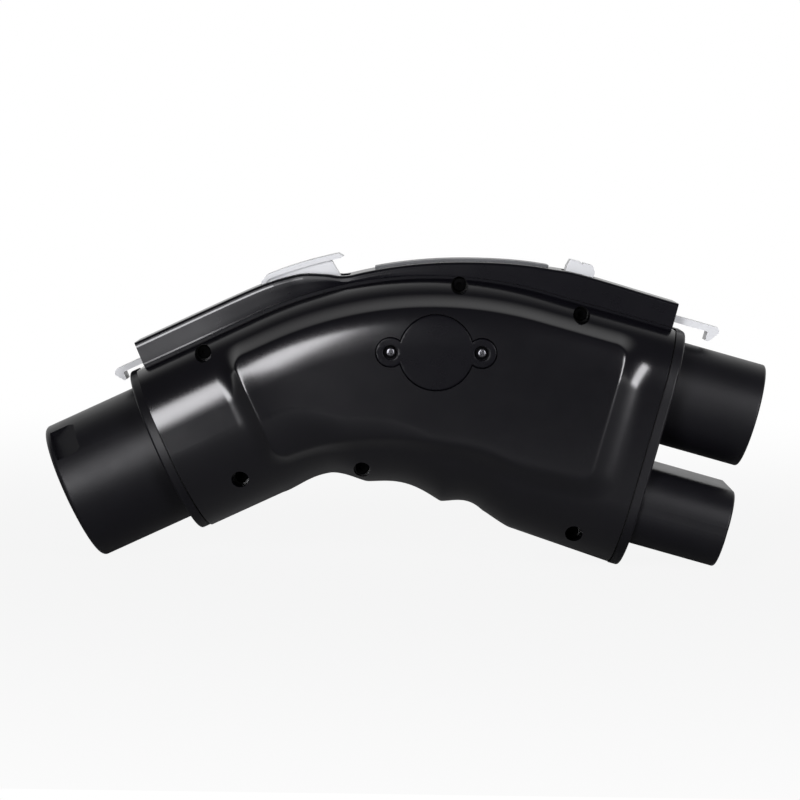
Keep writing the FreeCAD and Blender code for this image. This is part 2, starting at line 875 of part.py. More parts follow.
# stations and heights of the cover's top, from left to right
LEFT_CREST = DECK + size("cover_left_rise")
DIP_CREST = DECK + size("cover_dip_rise")
RIGHT_CREST = DECK + size("cover_right_rise")
CREST = (
    (COVER_FROM - 30, LEFT_CREST),
    (COVER_FROM, LEFT_CREST),
    (LEFT_RUN, LEFT_CREST),
    (71.4, DECK + size("cover_hump_rise")),
    (79.3, DIP_CREST + 2.6),
    (85.0, DIP_CREST),
    (91.0, DIP_CREST),
    (125.0, DECK + size("cover_crown_rise")),
    (150.0, RIGHT_CREST - 1.2),
    (162.0, RIGHT_CREST),
    (COVER_TO, RIGHT_CREST - 0.5),
    (COVER_TO + 30, RIGHT_CREST - 0.5),
)
COVER_SPACING = 5.0
COVER_DEGREE = 5


def crest_height(station):
    """Height of the cover's top, a smooth curve through the crest points."""
    spans = range(1, len(CREST) - 2)
    span = next((i for i in spans if station <= CREST[i + 1][0]), len(CREST) - 3)
    (s0, h0), (s1, h1), (s2, h2), (s3, h3) = CREST[span - 1:span + 3]
    width = s2 - s1
    share = (station - s1) / width
    slope_one = (h2 - h0) / (s2 - s0) * width
    slope_two = (h3 - h1) / (s3 - s1) * width
    cube = share ** 3
    square = share ** 2
    return (
        (2 * cube - 3 * square + 1) * h1 + (cube - 2 * square + share) * slope_one
        + (3 * square - 2 * cube) * h2 + (cube - square) * slope_two
    )


def cover_wire(station):
    side = size("cover_half_width")
    foot_side = side - size("cover_foot_inset")
    foot = DECK + size("cover_foot")
    top = crest_height(station)
    lean = blend(station, 70, 88, size("cover_lean_left"), size("cover_lean_right"))
    shoulder = side - lean
    edge = size("cover_edge_round")
    wire = closed_wire([
        V(0, -foot_side, DECK),
        (V(0, -foot_side, foot),),
        (V(0, -side, foot),),
        (V(0, -shoulder, top - edge),),
        (V(0, -shoulder + 0.3 * edge, top - 0.3 * edge), V(0, -shoulder + edge, top)),
        (V(0, shoulder - edge, top),),
        (V(0, shoulder - 0.3 * edge, top - 0.3 * edge), V(0, shoulder, top - edge)),
        (V(0, side, foot),),
        (V(0, foot_side, foot),),
        (V(0, foot_side, DECK),),
        (V(0, -foot_side, DECK),),
    ])
    wire.Placement = station_frame(station)
    return wire


def strip_wire(station, half_width, low, high):
    wire = closed_wire([
        V(0, -half_width, low),
        (V(0, -half_width, high),),
        (V(0, half_width, high),),
        (V(0, half_width, low),),
        (V(0, -half_width, low),),
    ])
    wire.Placement = station_frame(station)
    return wire


def cover_loft(wire_at, start, end):
    stations = even_stations(start, end, COVER_SPACING)
    wires = [wire_at(station) for station in stations]
    return Part.makeLoft(wires, True, False, False, COVER_DEGREE)


def latch_cover():
    body = cover_loft(cover_wire, COVER_FROM, COVER_TO)
    wall = size("cover_wall")
    channel = cover_loft(
        lambda station: strip_wire(
            station, size("cover_channel"), DECK - 1, crest_height(station) - wall
        ),
        COVER_FROM - 1, COVER_TO + 1,
    )
    gap = size("slot_gap")
    pad_half = size("pad_half_width") + gap
    pad_slot = upright_block(
        LEFT_FRAME, size("pad_start") - gap, size("pad_end") + 1.6 - gap,
        -pad_half, pad_half, 0, 60,
    )
    button_half = size("button_half_width") + gap
    start = size("button_start")
    button_slot = upright_block(
        RIGHT_FRAME, start - size("button_slot_gap"), start + size("button_length") + gap,
        -button_half, button_half, 0, 60,
    )
    access = [
        across(station, height, size("screw_access_radius"), -FACE, -size("cover_channel"))
        for station, height in SCREW_PLACES[:3]
    ]
    return body.cut([channel, pad_slot, button_slot] + access)


def cover_inlay():
    return cover_loft(
        lambda station: strip_wire(
            station, size("inlay_half_width"), crest_height(station),
            crest_height(station) + size("inlay_thickness"),
        ),
        size("inlay_start"), size("inlay_end"),
    )


feature("latch_cover", latch_cover(), REST)
feature("cover_inlay", cover_inlay(), REST)


# Service cap

def service_cap():
    surface = housing_form(
        size("cap_sink") - size("panel_rise"), PANEL_LEFT - 19, LINE_LENGTH - 8
    )
    seat = -size("cap_seat")
    plate = cap_outline(0, -FACE, seat).common(surface)
    groove = cap_bore(size("seal_outer_radius"), seat - size("seal_thickness"), seat + 1).cut(
        cap_bore(size("seal_inner_radius"), seat - size("seal_thickness"), seat + 1)
    )
    cuts = [groove, cap_bore(size("seal_inner_radius") - 1.6, seat - 2.6, seat + 1)]
    for side in (-1, 1):
        x = side * size("cap_ear_offset")
        deep = size("cap_screw_recess_depth") - FACE
        cuts.append(cap_bore(size("cap_screw_recess_radius"), -FACE - 1, deep, x))
        cuts.append(cap_bore(size("cap_screw_radius") + size("fit_gap"), -FACE, seat + 1, x))
    return plate.cut(cuts)


def service_cap_seal():
    seat = -size("cap_seat")
    top = seat - size("seal_thickness")
    return cap_bore(size("seal_outer_radius"), top, seat).cut(
        cap_bore(size("seal_inner_radius"), top, seat)
    )


def screw(head_radius, head_height, shank_radius, length, socket_radius):
    """Screw along +Y with its head's seat at the origin and a six-sided drive socket."""
    head = Part.makeCylinder(head_radius, head_height, V(0, -head_height, 0), V(0, 1, 0))
    shank = Part.makeCylinder(shank_radius, length, V(), V(0, 1, 0))
    corners = [
        V(
            socket_radius * math.cos(math.radians(60 * step)), -head_height,
            socket_radius * math.sin(math.radians(60 * step)),
        )
        for step in range(7)
    ]
    socket = Part.Face(Part.makePolygon(corners)).extrude(V(0, head_height * 0.6, 0))
    rounded = head.makeFillet(
        head_height * 0.25, [e for e in head.Edges if abs(e.CenterOfMass.y + head_height) < 0.01]
    )
    return rounded.fuse(shank).cut(socket)


def placed_copies(solid, places):
    copies = []
    for place in places:
        copy = solid.copy()
        copy.translate(place)
        copies.append(copy)
    return Part.Compound(copies)


def housing_screws():
    master = screw(
        size("screw_head_radius"), size("screw_head_height"), size("screw_radius"),
        size("screw_seat") + size("screw_reach") - size("seam_gap"), size("screw_radius") * 0.9,
    )
    places = [along_line(station, height) for station, height in SCREW_PLACES]
    return placed_copies(master, [V(p.x, -size("screw_seat"), p.z) for p in places])


def service_cap_screws():
    deep = FACE - size("cap_screw_recess_depth")
    reach = size("cap_screw_reach") - size("cap_screw_recess_depth") - size("seam_gap")
    master = screw(
        size("cap_screw_head_radius"), size("cap_screw_head_height"),
        size("cap_screw_radius"), reach, size("cap_screw_radius"),
    )
    centres = [
        TOP_FRAME.multVec(V(side * size("cap_ear_offset"), 0, size("cap_height")))
        for side in (-1, 1)
    ]
    return placed_copies(master, [V(c.x, -deep, c.z) for c in centres])


feature("service_cap", service_cap(), REST)
feature("service_cap_seal", service_cap_seal(), REST)
feature("service_cap_screws", service_cap_screws(), REST)
feature("housing_screws", housing_screws(), REST)


# Round end: hollow shroud, flange, neck and clamped rim, turned about the axis

def edge_names(shape, test):
    return [f"Edge{i + 1}" for i, edge in enumerate(shape.Edges) if test(edge)]


def round_edges(body, base, radius, test):
    doc.recompute()
    made = body.newObject("PartDesign::Fillet", base.Name + "_round")
    made.Base = (base, edge_names(base.Shape, test))
    made.setExpression("Radius", radius)
    return made


def is_ring(edge, x, radius):
    box = edge.BoundBox
    return (
        abs(box.XMin - x) < 0.01 and abs(box.XMax - x) < 0.01
        and abs(box.ZLength / 2 - radius) < 0.01
    )


FLANGE_FACE = "-(dims.flange_gap + dims.flange_thickness)"
RIM_FRONT = "dims.end_wall + dims.fit_gap"

barrel_body = body_named("round_barrel_body")
barrel_sketch = sketch_on(barrel_body, "round_barrel_profile", "XZ_Plane")
draw_polygon(barrel_sketch, [
    ("-dims.shroud_reach", "dims.shroud_radius - dims.shroud_wall"),
    ("-dims.shroud_reach", "dims.shroud_radius"),
    (FLANGE_FACE, "dims.shroud_radius"),
    (FLANGE_FACE, "dims.round_flange_radius"),
    ("-dims.flange_gap", "dims.round_flange_radius"),
    ("-dims.flange_gap", "dims.neck_radius"),
    (RIM_FRONT, "dims.neck_radius"),
    (RIM_FRONT, "dims.rim_radius"),
    (RIM_FRONT + " + dims.rim_thickness", "dims.rim_radius"),
    (RIM_FRONT + " + dims.rim_thickness", "dims.throat_radius"),
    (FLANGE_FACE, "dims.throat_radius"),
    (FLANGE_FACE, "dims.shroud_radius - dims.shroud_wall"),
])
barrel_turned = turned(barrel_body, barrel_sketch)
mouth_x = -size("shroud_reach")
barrel_mouth = round_edges(
    barrel_body, barrel_turned, "dims.mouth_round",
    lambda edge: is_ring(edge, mouth_x, size("shroud_radius")),
)
flange_x = -(size("flange_gap") + size("flange_thickness"))
barrel_round = round_edges(
    barrel_body, barrel_mouth, "dims.head_edge_round",
    lambda edge: is_ring(edge, flange_x, size("round_flange_radius")),
)


def pocket_cutter(name, side):
    """Box that cuts the sloping recess by the mouth; side is -1 near and 1 far."""
    box = doc.addObject("Part::Box", name)
    box.setExpression("Length", "dims.pocket_length")
    box.setExpression("Width", "dims.pocket_width")
    box.Height = 20
    angle = size("pocket_angle")
    facing = Placement(V(), Rotation(V(1, 0, 0), side * (angle - 90)))
    floor = Placement(
        V(-size("pocket_front"), -size("pocket_width") / 2,
          size("shroud_radius") - size("pocket_depth")),
        Rotation(Y_AXIS, -size("pocket_slope")),
    )
    box.Placement = facing.multiply(floor)
    return box


pockets = doc.addObject("Part::MultiFuse", "mouth_pockets")
pockets.Shapes = [pocket_cutter("near_pocket", 1), pocket_cutter("far_pocket", -1)]
barrel = doc.addObject("Part::Cut", "round_end_barrel_cut")
barrel.Base = barrel_body
barrel.Tool = pockets
keep(barrel, "round_end_barrel", LEFT_END)


def ring(name, outer, inner, length):
    """Flat ring along Z made of two cylinders."""
    disc = doc.addObject("Part::Cylinder", name + "_disc")
    disc.setExpression("Radius", outer)
    disc.setExpression("Height", length)
    hole = doc.addObject("Part::Cylinder", name + "_hole")
    hole.setExpression("Radius", inner)
    hole.setExpression("Height", length)
    made = doc.addObject("Part::Cut", name + "_ring")
    made.Base = disc
    made.Tool = hole
    return made


round_gasket = ring(
    "round_gasket", "dims.round_flange_radius - 0.8", "dims.neck_radius + dims.fit_gap",
    "dims.flange_gap",
)
round_gasket.Placement = Placement(V(-size("flange_gap"), 0, 0), TURN_TO_X)
keep(round_gasket, "round_end_gasket", LEFT_END)


# Contacts of the round end: positions across the axis, Y then Z

DC_PINS = [(side * size("dc_pin_offset"), 0.0) for side in (-1, 1)]
EARTH_PINS = [(0.0, -size("earth_pin_drop"))]
AUXILIARY_PINS = [
    (side * size("auxiliary_offset"), -size("auxiliary_drop")) for side in (-1, 1)
]
SIGNAL_PINS = [
    (side * size(place + "_offset"), size(place + "_height"))
    for place in ("signal_inner", "signal_outer") for side in (-1, 1)
]


def revolve(points, y, z):
    """Solid turned about a line along X at (y, z); points are pairs of x and radius."""
    wire = Part.makePolygon([V(x, y, z + r) for x, r in points + points[:1]])
    return Part.Face(wire).revolve(V(0, y, z), V(1, 0, 0), 360)


def contact_pin(radius, y, z):
    """Round pin with a tapered tip, a collar in the carrier and a thinner tail."""
    tip = -size("pin_reach")
    tail = size("pin_tail")
    nose = radius * 0.55
    return revolve([
        (tip, 0), (tip, radius - nose * 0.6), (tip + nose, radius), (tail - 4, radius),
        (tail - 4, radius * 0.7), (tail, radius * 0.7), (tail, 0),
    ], y, z)


def pins(label, radius, places):
    feature(label, Part.Compound([contact_pin(radius, y, z) for y, z in places]), LEFT_END)


insert_body = body_named("round_insert_body")
insert_sketch = sketch_on(insert_body, "round_insert_profile", "XZ_Plane")
draw_polygon(insert_sketch, [
    ("-dims.insert_front", "0"),
    ("-dims.insert_front", "dims.shroud_radius - dims.shroud_wall - dims.fit_gap"),
    (FLANGE_FACE, "dims.shroud_radius - dims.shroud_wall - dims.fit_gap"),
    (FLANGE_FACE, "dims.throat_radius - dims.fit_gap"),
    ("dims.insert_hub_rear", "dims.throat_radius - dims.fit_gap"),
    ("dims.insert_hub_rear", "0"),
])
insert_turned = turned(insert_body, insert_sketch)
for group, radius, places in (
    ("dc", "dims.dc_pin_radius", [("dims.dc_pin_offset", "0"), ("-dims.dc_pin_offset", "0")]),
    ("earth", "dims.earth_pin_radius", [("0", "-dims.earth_pin_drop")]),
    ("small", "dims.small_pin_radius", [
        ("dims.auxiliary_offset", "-dims.auxiliary_drop"),
        ("-dims.auxiliary_offset", "-dims.auxiliary_drop"),
        ("dims.signal_inner_offset", "dims.signal_inner_height"),
        ("-dims.signal_inner_offset", "dims.signal_inner_height"),
        ("dims.signal_outer_offset", "dims.signal_outer_height"),
        ("-dims.signal_outer_offset", "dims.signal_outer_height"),
    ]),
):
    holes = sketch_on(insert_body, f"round_insert_{group}_holes", "YZ_Plane", "-dims.insert_front - 1")
    for y, z in places:
        draw_circle(holes, radius + " + dims.fit_gap / 2", y, z)
    pocket(insert_body, holes, "dims.insert_front + dims.insert_hub_rear + 2", forwards=True)
keep(insert_body, "round_end_insert", LEFT_END)
pins("dc_pins", size("dc_pin_radius"), DC_PINS)
pins("earth_pin", size("earth_pin_radius"), EARTH_PINS)
pins("auxiliary_pins", size("small_pin_radius"), AUXILIARY_PINS)
pins("signal_pins", size("small_pin_radius"), SIGNAL_PINS)


# Combined end: flange with two barrels, and the collar that the housing clamps

def rounded_pad(body, name, place, inset, length, backwards=False):
    """Pad of the flange's outline, moved in by an inset expression."""
    sketch = sketch_on(body, name, "YZ_Plane", place)
    draw_rounded(
        sketch, f"dims.half_width - {inset}", f"dims.head_top - {inset}",
        f"dims.head_bottom - {inset}", f"dims.head_top_corner - {inset}",
        f"dims.heel_corner - {inset}",
    )
    return pad(body, sketch, length, backwards)


def oval(body, name, place, inset, drop="dims.lower_barrel_drop"):
    """Oval outline of the lower barrel, moved in by an inset expression."""
    sketch = sketch_on(body, name, "YZ_Plane", place)
    draw_rounded(
        sketch, f"dims.lower_barrel_half_width - {inset}",
        f"-{drop} + dims.lower_barrel_half_height - {inset}",
        f"{drop} + dims.lower_barrel_half_height - {inset}",
        f"dims.lower_barrel_corner - {inset}", f"dims.lower_barrel_corner - {inset}",
    )
    return sketch


def disc(body, name, place, radius):
    sketch = sketch_on(body, name, "YZ_Plane", place)
    draw_circle(sketch, radius, "0", "dims.upper_barrel_height")
    return sketch


FLANGE_BACK = "dims.right_run + dims.flange_gap"
FLANGE_FRONT = "dims.right_run + dims.flange_gap + dims.flange_thickness"
COLLAR_BACK = "dims.right_run - dims.end_wall - dims.fit_gap"
BARREL_LENGTH = "dims.barrel_reach - dims.right_run - dims.flange_gap - dims.flange_thickness"
COLLAR_LENGTH = "dims.flange_gap + dims.end_wall + dims.fit_gap"

head_body = body_named("combo_head_body")
head_flange = rounded_pad(head_body, "head_flange", FLANGE_BACK, "0", "dims.flange_thickness")
front_x = size("right_run") + size("flange_gap") + size("flange_thickness")
head_round = round_edges(
    head_body, head_flange, "dims.head_edge_round",
    lambda edge: abs(edge.BoundBox.XMin - front_x) < 0.01 and edge.BoundBox.XLength < 0.01,
)
rounded_pad(head_body, "head_collar", FLANGE_BACK, "dims.collar_inset", COLLAR_LENGTH, True)
rounded_pad(head_body, "head_rim", COLLAR_BACK, "dims.rim_inset", "dims.rim_thickness", True)
pad(head_body, disc(head_body, "upper_barrel", FLANGE_FRONT, "dims.upper_barrel_radius"), BARREL_LENGTH)
head_barrels = pad(head_body, oval(head_body, "lower_barrel", FLANGE_FRONT, "0"), BARREL_LENGTH)
reach_x = size("barrel_reach")
round_edges(
    head_body, head_barrels, "dims.mouth_edge_round",
    lambda edge: abs(edge.BoundBox.XMin - reach_x) < 0.01 and edge.BoundBox.XLength < 0.01,
)
pocket(
    head_body,
    disc(head_body, "upper_bore", "dims.barrel_reach", "dims.upper_barrel_radius - dims.barrel_wall"),
    BARREL_LENGTH,
)
pocket(head_body, oval(head_body, "lower_bore", "dims.barrel_reach", "dims.barrel_wall"), BARREL_LENGTH)
pocket(head_body, disc(head_body, "upper_throat", "dims.barrel_reach", "dims.upper_hub_radius"), "60")
pocket(
    head_body,
    oval(head_body, "lower_throat", "dims.barrel_reach", "(dims.barrel_wall + dims.lower_hub_inset)"),
    "60",
)
keep(head_body, "combo_end_head", RIGHT_END)

gasket_body = body_named("combo_gasket_body")
rounded_pad(gasket_body, "gasket_outline", "dims.right_run", "0.8", "dims.flange_gap")
gasket_hole = sketch_on(gasket_body, "gasket_hole", "YZ_Plane", "dims.right_run - 1")
draw_rounded(
    gasket_hole, "dims.half_width - dims.collar_inset + dims.fit_gap",
    "dims.head_top - dims.collar_inset + dims.fit_gap",
    "dims.head_bottom - dims.collar_inset + dims.fit_gap",
    "dims.head_top_corner - dims.collar_inset + dims.fit_gap",
    "dims.heel_corner - dims.collar_inset + dims.fit_gap",
)
pocket(gasket_body, gasket_hole, "dims.flange_gap + 2", forwards=True)
keep(gasket_body, "combo_end_gasket", RIGHT_END)

INSERT_FRONT = "dims.barrel_reach - dims.face_recess"
INSERT_LENGTH = BARREL_LENGTH + " - dims.face_recess"
UPPER_INSERT = "dims.upper_barrel_radius - dims.barrel_wall - dims.fit_gap"
EARTH_SOCKETS = [(0.0, size("upper_barrel_height") - size("earth_socket_drop"))]
PILOT_SOCKETS = [
    (side * size("pilot_socket_offset"), size("upper_barrel_height") - size("pilot_socket_drop"))
    for side in (-1, 1)
]
DC_SOCKETS = [(side * size("dc_socket_offset"), -size("lower_barrel_drop")) for side in (-1, 1)]
SOCKET_SKIN = " + dims.socket_wall + dims.fit_gap / 2"


def socket_holes(body, name, radius, places, length):
    holes = sketch_on(body, name, "YZ_Plane", "dims.barrel_reach")
    for y, z in places:
        draw_circle(holes, radius, y, z)
    pocket(body, holes, length)


upper_body = body_named("combo_upper_body")
pad(upper_body, disc(upper_body, "upper_face", INSERT_FRONT, UPPER_INSERT), INSERT_LENGTH, True)
pad(
    upper_body,
    disc(upper_body, "upper_hub", FLANGE_FRONT, "dims.upper_hub_radius - dims.fit_gap"),
    "dims.hub_length", True,
)
UPPER_Z = "dims.upper_barrel_height"
socket_holes(
    upper_body, "earth_hole", "dims.earth_socket_radius" + SOCKET_SKIN,
    [("0", UPPER_Z + " - dims.earth_socket_drop")], "80",
)
socket_holes(
    upper_body, "pilot_holes", "dims.pilot_socket_radius" + SOCKET_SKIN,
    [(side + "dims.pilot_socket_offset", UPPER_Z + " - dims.pilot_socket_drop")
     for side in ("", "-")], "80",
)
socket_holes(
    upper_body, "line_holes", "dims.line_hole_radius",
    [(side + "dims.line_hole_offset", UPPER_Z + " + dims.line_hole_height") for side in ("", "-")],
    "22",
)
keep(upper_body, "combo_upper_insert", RIGHT_END)

lower_body = body_named("combo_lower_body")
pad(
    lower_body, oval(lower_body, "lower_face", INSERT_FRONT, "(dims.barrel_wall + dims.fit_gap)"),
    INSERT_LENGTH, True,
)
pad(
    lower_body,
    oval(lower_body, "lower_hub", FLANGE_FRONT,
         "(dims.barrel_wall + dims.lower_hub_inset + dims.fit_gap)"),
    "dims.hub_length", True,
)
socket_holes(
    lower_body, "dc_holes", "dims.dc_socket_radius" + SOCKET_SKIN,
    [(side + "dims.dc_socket_offset", "-dims.lower_barrel_drop") for side in ("", "-")], "80",
)
keep(lower_body, "combo_lower_insert", RIGHT_END)


def contact_socket(radius, y, z):
    """Hollow contact, open at the mouth, with a solid tail behind the insert."""
    skin = radius + size("socket_wall")
    front = size("barrel_reach") - size("face_recess") - size("socket_recess")
    back = front_x - size("hub_length") - size("socket_tail")
    depth = front - 28
    return revolve([
        (back, 0), (back, skin * 0.75), (back + 4, skin * 0.75), (back + 4, skin),
        (front, skin), (front, radius), (depth, radius), (depth - radius, 0),
    ], y, z)


def sockets(label, radius, places):
    feature(label, Part.Compound([contact_socket(radius, y, z) for y, z in places]), RIGHT_END)


sockets("dc_sockets", size("dc_socket_radius"), DC_SOCKETS)
sockets("earth_socket", size("earth_socket_radius"), EARTH_SOCKETS)
sockets("pilot_sockets", size("pilot_socket_radius"), PILOT_SOCKETS)


# Latch levers, their pins and springs

def spring_hole(frame, along, top):
    foot = spring_foot(frame, along)
    return Part.makeCylinder(size("spring_hole_radius"), top, foot, UP)


def knuckle(frame, pivot):
    along, height = pivot
    return Part.makeCylinder(
        size("pivot_boss"), 2 * LEVER_HALF,
        frame.multVec(V(along, -LEVER_HALF, height)), V(0, 1, 0),
    )


def pivot_bore(frame, pivot):
    along, height = pivot
    return Part.makeCylinder(
        size("pivot_radius") + size("pivot_fit"), 4 * LEVER_HALF,
        frame.multVec(V(along, -2 * LEVER_HALF, height)), V(0, 1, 0),
    )


def axle_frame(frame, pivot):
    """An end's frame raised to its latch axle, so that a lever's heights are from the axle."""
    return frame.multiply(Placement(V(0, 0, pivot[1]), Rotation()))


def round_latch():
    """Lever of the round end: hook, arm, pivot boss and thumb pad."""
    frame = axle_frame(LEFT_FRAME, LEFT_PIVOT)
    low = -size("left_arm_drop")
    high = low + size("left_lever_thickness")
    tip = -size("left_hook_tip")
    back = -size("left_hook_back")
    drop = low - size("left_hook_drop")
    along = LEFT_PIVOT[0]
    boss = size("pivot_boss")
    start = size("pad_start")
    end = size("pad_end")
    web = side_profile(frame, [
        ((back, low),), ((back, drop),), ((back - 1.2, drop),), ((tip, low + 0.6),),
        ((tip + 1.4, high),), ((start - 0.6, high + 0.4),), ((start + 0.4, 7.0),),
        ((start + 3.3, 8.7),), ((80, 7.3), (end - 4, 4.8)), ((end - 3.2, low - 1.5),),
        ((70, low + 0.2),), ((along + boss, low),),
    ], -LEVER_HALF, LEVER_HALF)
    plate_half = size("pad_half_width")
    thick = size("pad_thickness")
    plate = side_profile(frame, [
        ((start, 8.0 - thick),), ((start, 8.0),), ((start + 3.3, 9.7),),
        ((80, 8.3), (end, 5.4)), ((end + 1.5, 3.4),), ((end - 0.6, 3.4),),
        ((79.6, 8.3 - thick), (start + 3.3, 9.7 - thick)),
    ], -plate_half, plate_half)
    solid = web.multiFuse([knuckle(LEFT_FRAME, LEFT_PIVOT), plate]).cut(
        [pivot_bore(LEFT_FRAME, LEFT_PIVOT),
         spring_hole(LEFT_FRAME, size("left_spring_along"), SPRING_TIP + SPRING_SEAT_RISE)]
    )
    return solid.removeSplitter()


def combo_latch():
    """Lever of the combined end: push button, pivot boss, arm and hook."""
    frame = axle_frame(RIGHT_FRAME, RIGHT_PIVOT)
    low = -size("right_arm_drop")
    high = low + size("right_lever_thickness")
    tip = size("right_hook_tip")
    back = size("right_hook_back")
    drop = low - size("right_hook_drop")
    along = RIGHT_PIVOT[0]
    boss = size("pivot_boss")
    start = size("button_start")
    end = start + size("button_length")
    top = size("button_rise")
    arm = side_profile(frame, [
        ((back, low),), ((back, drop),), ((back + 1.4, drop),), ((tip, low + 0.9),),
        ((tip - 1.1, high),), ((along + boss, high),), ((along - boss, high + 0.4),),
        ((end, high + 0.8),), ((start, high + 0.8),), ((start, high - 0.4),),
        ((end - 2, low + 0.9),),
        ((along - boss, low + 0.6),), ((along + boss, low),),
    ], -LEVER_HALF + 0.5, LEVER_HALF - 0.5)
    half = size("button_half_width")
    button = side_profile(frame, [
        ((start, high),), ((start, top - 3),), ((start + 0.8, top),), ((start + 5.2, top + 0.1),),
        ((start + 6.0, top - 0.7),), ((start + 6.8, top + 0.1),), ((end - 1.6, top),),
        ((end, top - 2.4),), ((end, high),),
    ], -half, half)
    solid = arm.multiFuse([knuckle(RIGHT_FRAME, RIGHT_PIVOT), button]).cut(
        [pivot_bore(RIGHT_FRAME, RIGHT_PIVOT),
         spring_hole(RIGHT_FRAME, size("right_spring_along"), SPRING_TIP + SPRING_SEAT_RISE)]
    )
    return solid.removeSplitter()


def latch_spring(frame, along):
    """Upright compression spring between the deck and the lever, of eight-sided wire."""
    wire_radius = size("spring_wire") / 2
    mean = size("spring_radius")
    clear = size("fit_gap")
    length = SPRING_TIP - 2 * wire_radius - 2 * clear
    helix = Part.makeHelix(length / size("spring_turns"), length, mean)
    corners = [
        V(
            mean + wire_radius * math.cos(math.radians(45 * step + 22.5)), 0,
            wire_radius * math.sin(math.radians(45 * step + 22.5)),
        )
        for step in range(9)
    ]
    coil = Part.Wire(helix).makePipeShell([Part.makePolygon(corners)], True, True)
    foot = spring_foot(frame, along) + UP * (SPRING_SEAT_RISE + wire_radius + clear)
    at_rest = REST.multVec(foot)
    coil.translate(at_rest)
    return coil


def latch_pin(label, frame, pivot):
    pin = doc.addObject("Part::Cylinder", label + "_rod")
    pin.setExpression("Radius", "dims.pivot_radius")
    pin.setExpression(
        "Height", "2 * (dims.lever_half_width + dims.lug_gap + dims.lug_thickness)"
    )
    along, height = pivot
    pin.Placement = Placement(V(along, -LUG_END, height), TURN_TO_Y)
    keep(pin, label, REST.multiply(frame))


feature("round_latch", round_latch(), REST)
feature("combo_latch", combo_latch(), REST)
latch_pin("round_latch_pin", LEFT_FRAME, LEFT_PIVOT)
latch_pin("combo_latch_pin", RIGHT_FRAME, RIGHT_PIVOT)
feature("round_latch_spring", latch_spring(LEFT_FRAME, size("left_spring_along")))
feature("combo_latch_spring", latch_spring(RIGHT_FRAME, size("right_spring_along")))


# Conductors: straight runs joined by tangent arcs, laid out in the bend's frame

def filleted_path(points, radius):
    """Wire of straight runs with an arc of one radius at each inner point."""
    edges = []
    last = points[0]
    for before, corner, after in zip(points, points[1:], points[2:]):
        entering = (corner - before).normalize()
        leaving = (after - corner).normalize()
        turn = entering.getAngle(leaving)
        cut = radius * math.tan(turn / 2)
        start = corner - entering * cut
        end = corner + leaving * cut
        inward = (leaving - entering).normalize()
        middle = corner + inward * (radius / math.cos(turn / 2) - radius)
        edges.append(Part.makeLine(last, start))
        edges.append(Part.Arc(start, middle, end).toShape())
        last = end
    edges.append(Part.makeLine(last, points[-1]))
    return Part.Wire(edges)


def lead(points, radius, bend):
    """Round conductor along a path."""
    path = filleted_path(points, bend)
    along = (points[1] - points[0]).normalize()
    section = Part.Wire(Part.makeCircle(radius, points[0], along))
    return path.makePipeShell([section], True, True)


def flat_bar(points, thickness, y_from, y_to, bend):
    """Flat conductor bent in the side view."""
    path = filleted_path(points, bend)
    outline = path.makeOffset2D(thickness / 2, 2, False, False, True)
    face = Part.Face(outline)
    bar = face.extrude(V(0, y_to - y_from, 0))
    bar.translate(V(0, y_from, 0))
    return bar


def left_point(along, y, height):
    point = LEFT_FRAME.multVec(V(along, 0, height))
    return V(point.x, y, point.z)


def right_point(along, y, height):
    point = RIGHT_FRAME.multVec(V(along, 0, height))
    return V(point.x, y, point.z)


def top_point(x, y, z):
    point = TOP_FRAME.multVec(V(x, 0, z))
    return V(point.x, y, point.z)


SOCKET_BACK = front_x - size("hub_length") - size("socket_tail")


def busbar(side):
    """Bent bar from a direct current pin's tail to its socket's tail."""
    thick = size("busbar_thickness")
    half = size("busbar_width") / 2
    offset = side * size("busbar_offset")
    overlap = 3.6 - thick / 2
    pin_level = -size("dc_pin_radius") * 0.7 - thick / 2
    socket_tail = (size("dc_socket_radius") + size("socket_wall")) * 0.75
    socket_level = -size("lower_barrel_drop") - socket_tail - thick / 2
    points = [
        left_point(size("pin_tail") - overlap, 0, pin_level),
        left_point(34, 0, pin_level),
        top_point(-34, 0, -26),
        top_point(24, 0, -34),
        right_point(22, 0, socket_level),
        right_point(SOCKET_BACK + overlap, 0, socket_level),
    ]
    return flat_bar(points, thick, offset - half, offset + half, size("busbar_bend"))


for label, side in (("positive_busbar", -1), ("negative_busbar", 1)):
    feature(label, busbar(side), REST)


# Control board on its posts, with its parts, headers and service port

BOARD_BACK = -size("board_offset")
BOARD_FRONT = BOARD_BACK - size("board_thickness")
BOARD_HALF = size("board_length") / 2


def box_on(name, low, length, width, height):
    """Box in the frame of the bend's top, with its sizes bound to expressions."""
    box = doc.addObject("Part::Box", name)
    box.setExpression("Length", length)
    box.setExpression("Width", width)
    box.setExpression("Height", height)
    box.Placement = Placement(V(*low), Rotation())
    return box


board = box_on(
    "control_board_plate", (-BOARD_HALF, BOARD_FRONT, -size("board_height") / 2),
    "dims.board_length", "dims.board_thickness", "dims.board_height",
)
keep(board, "control_board", BEND_TOP)


def headers():
    """Wire headers at the two ends of the board."""
    length = size("header_length")
    depth = size("header_depth")
    height = size("header_height")
    return Part.Compound([
        Part.makeBox(length, depth, height, V(x, BOARD_BACK, -height / 2))
        for x in (-BOARD_HALF, BOARD_HALF - length)
    ])


def board_components():
    """Processor, transformer and two capacitors on the back of the board."""
    chip = Part.makeBox(11, 1.6, 11, V(-20, BOARD_BACK, -4))
    transformer = Part.makeBox(15, 9, 13, V(-4, BOARD_BACK, -7))
    core = Part.makeBox(9, 2, 17, V(-1, BOARD_BACK + 3.5, -9))
    capacitors = [
        Part.makeCylinder(3.6, 8, V(x, BOARD_BACK, z), V(0, 1, 0))
        for x, z in ((18, 6), (18, -4))
    ]
    return Part.Compound([chip, transformer.fuse(core)] + capacitors)


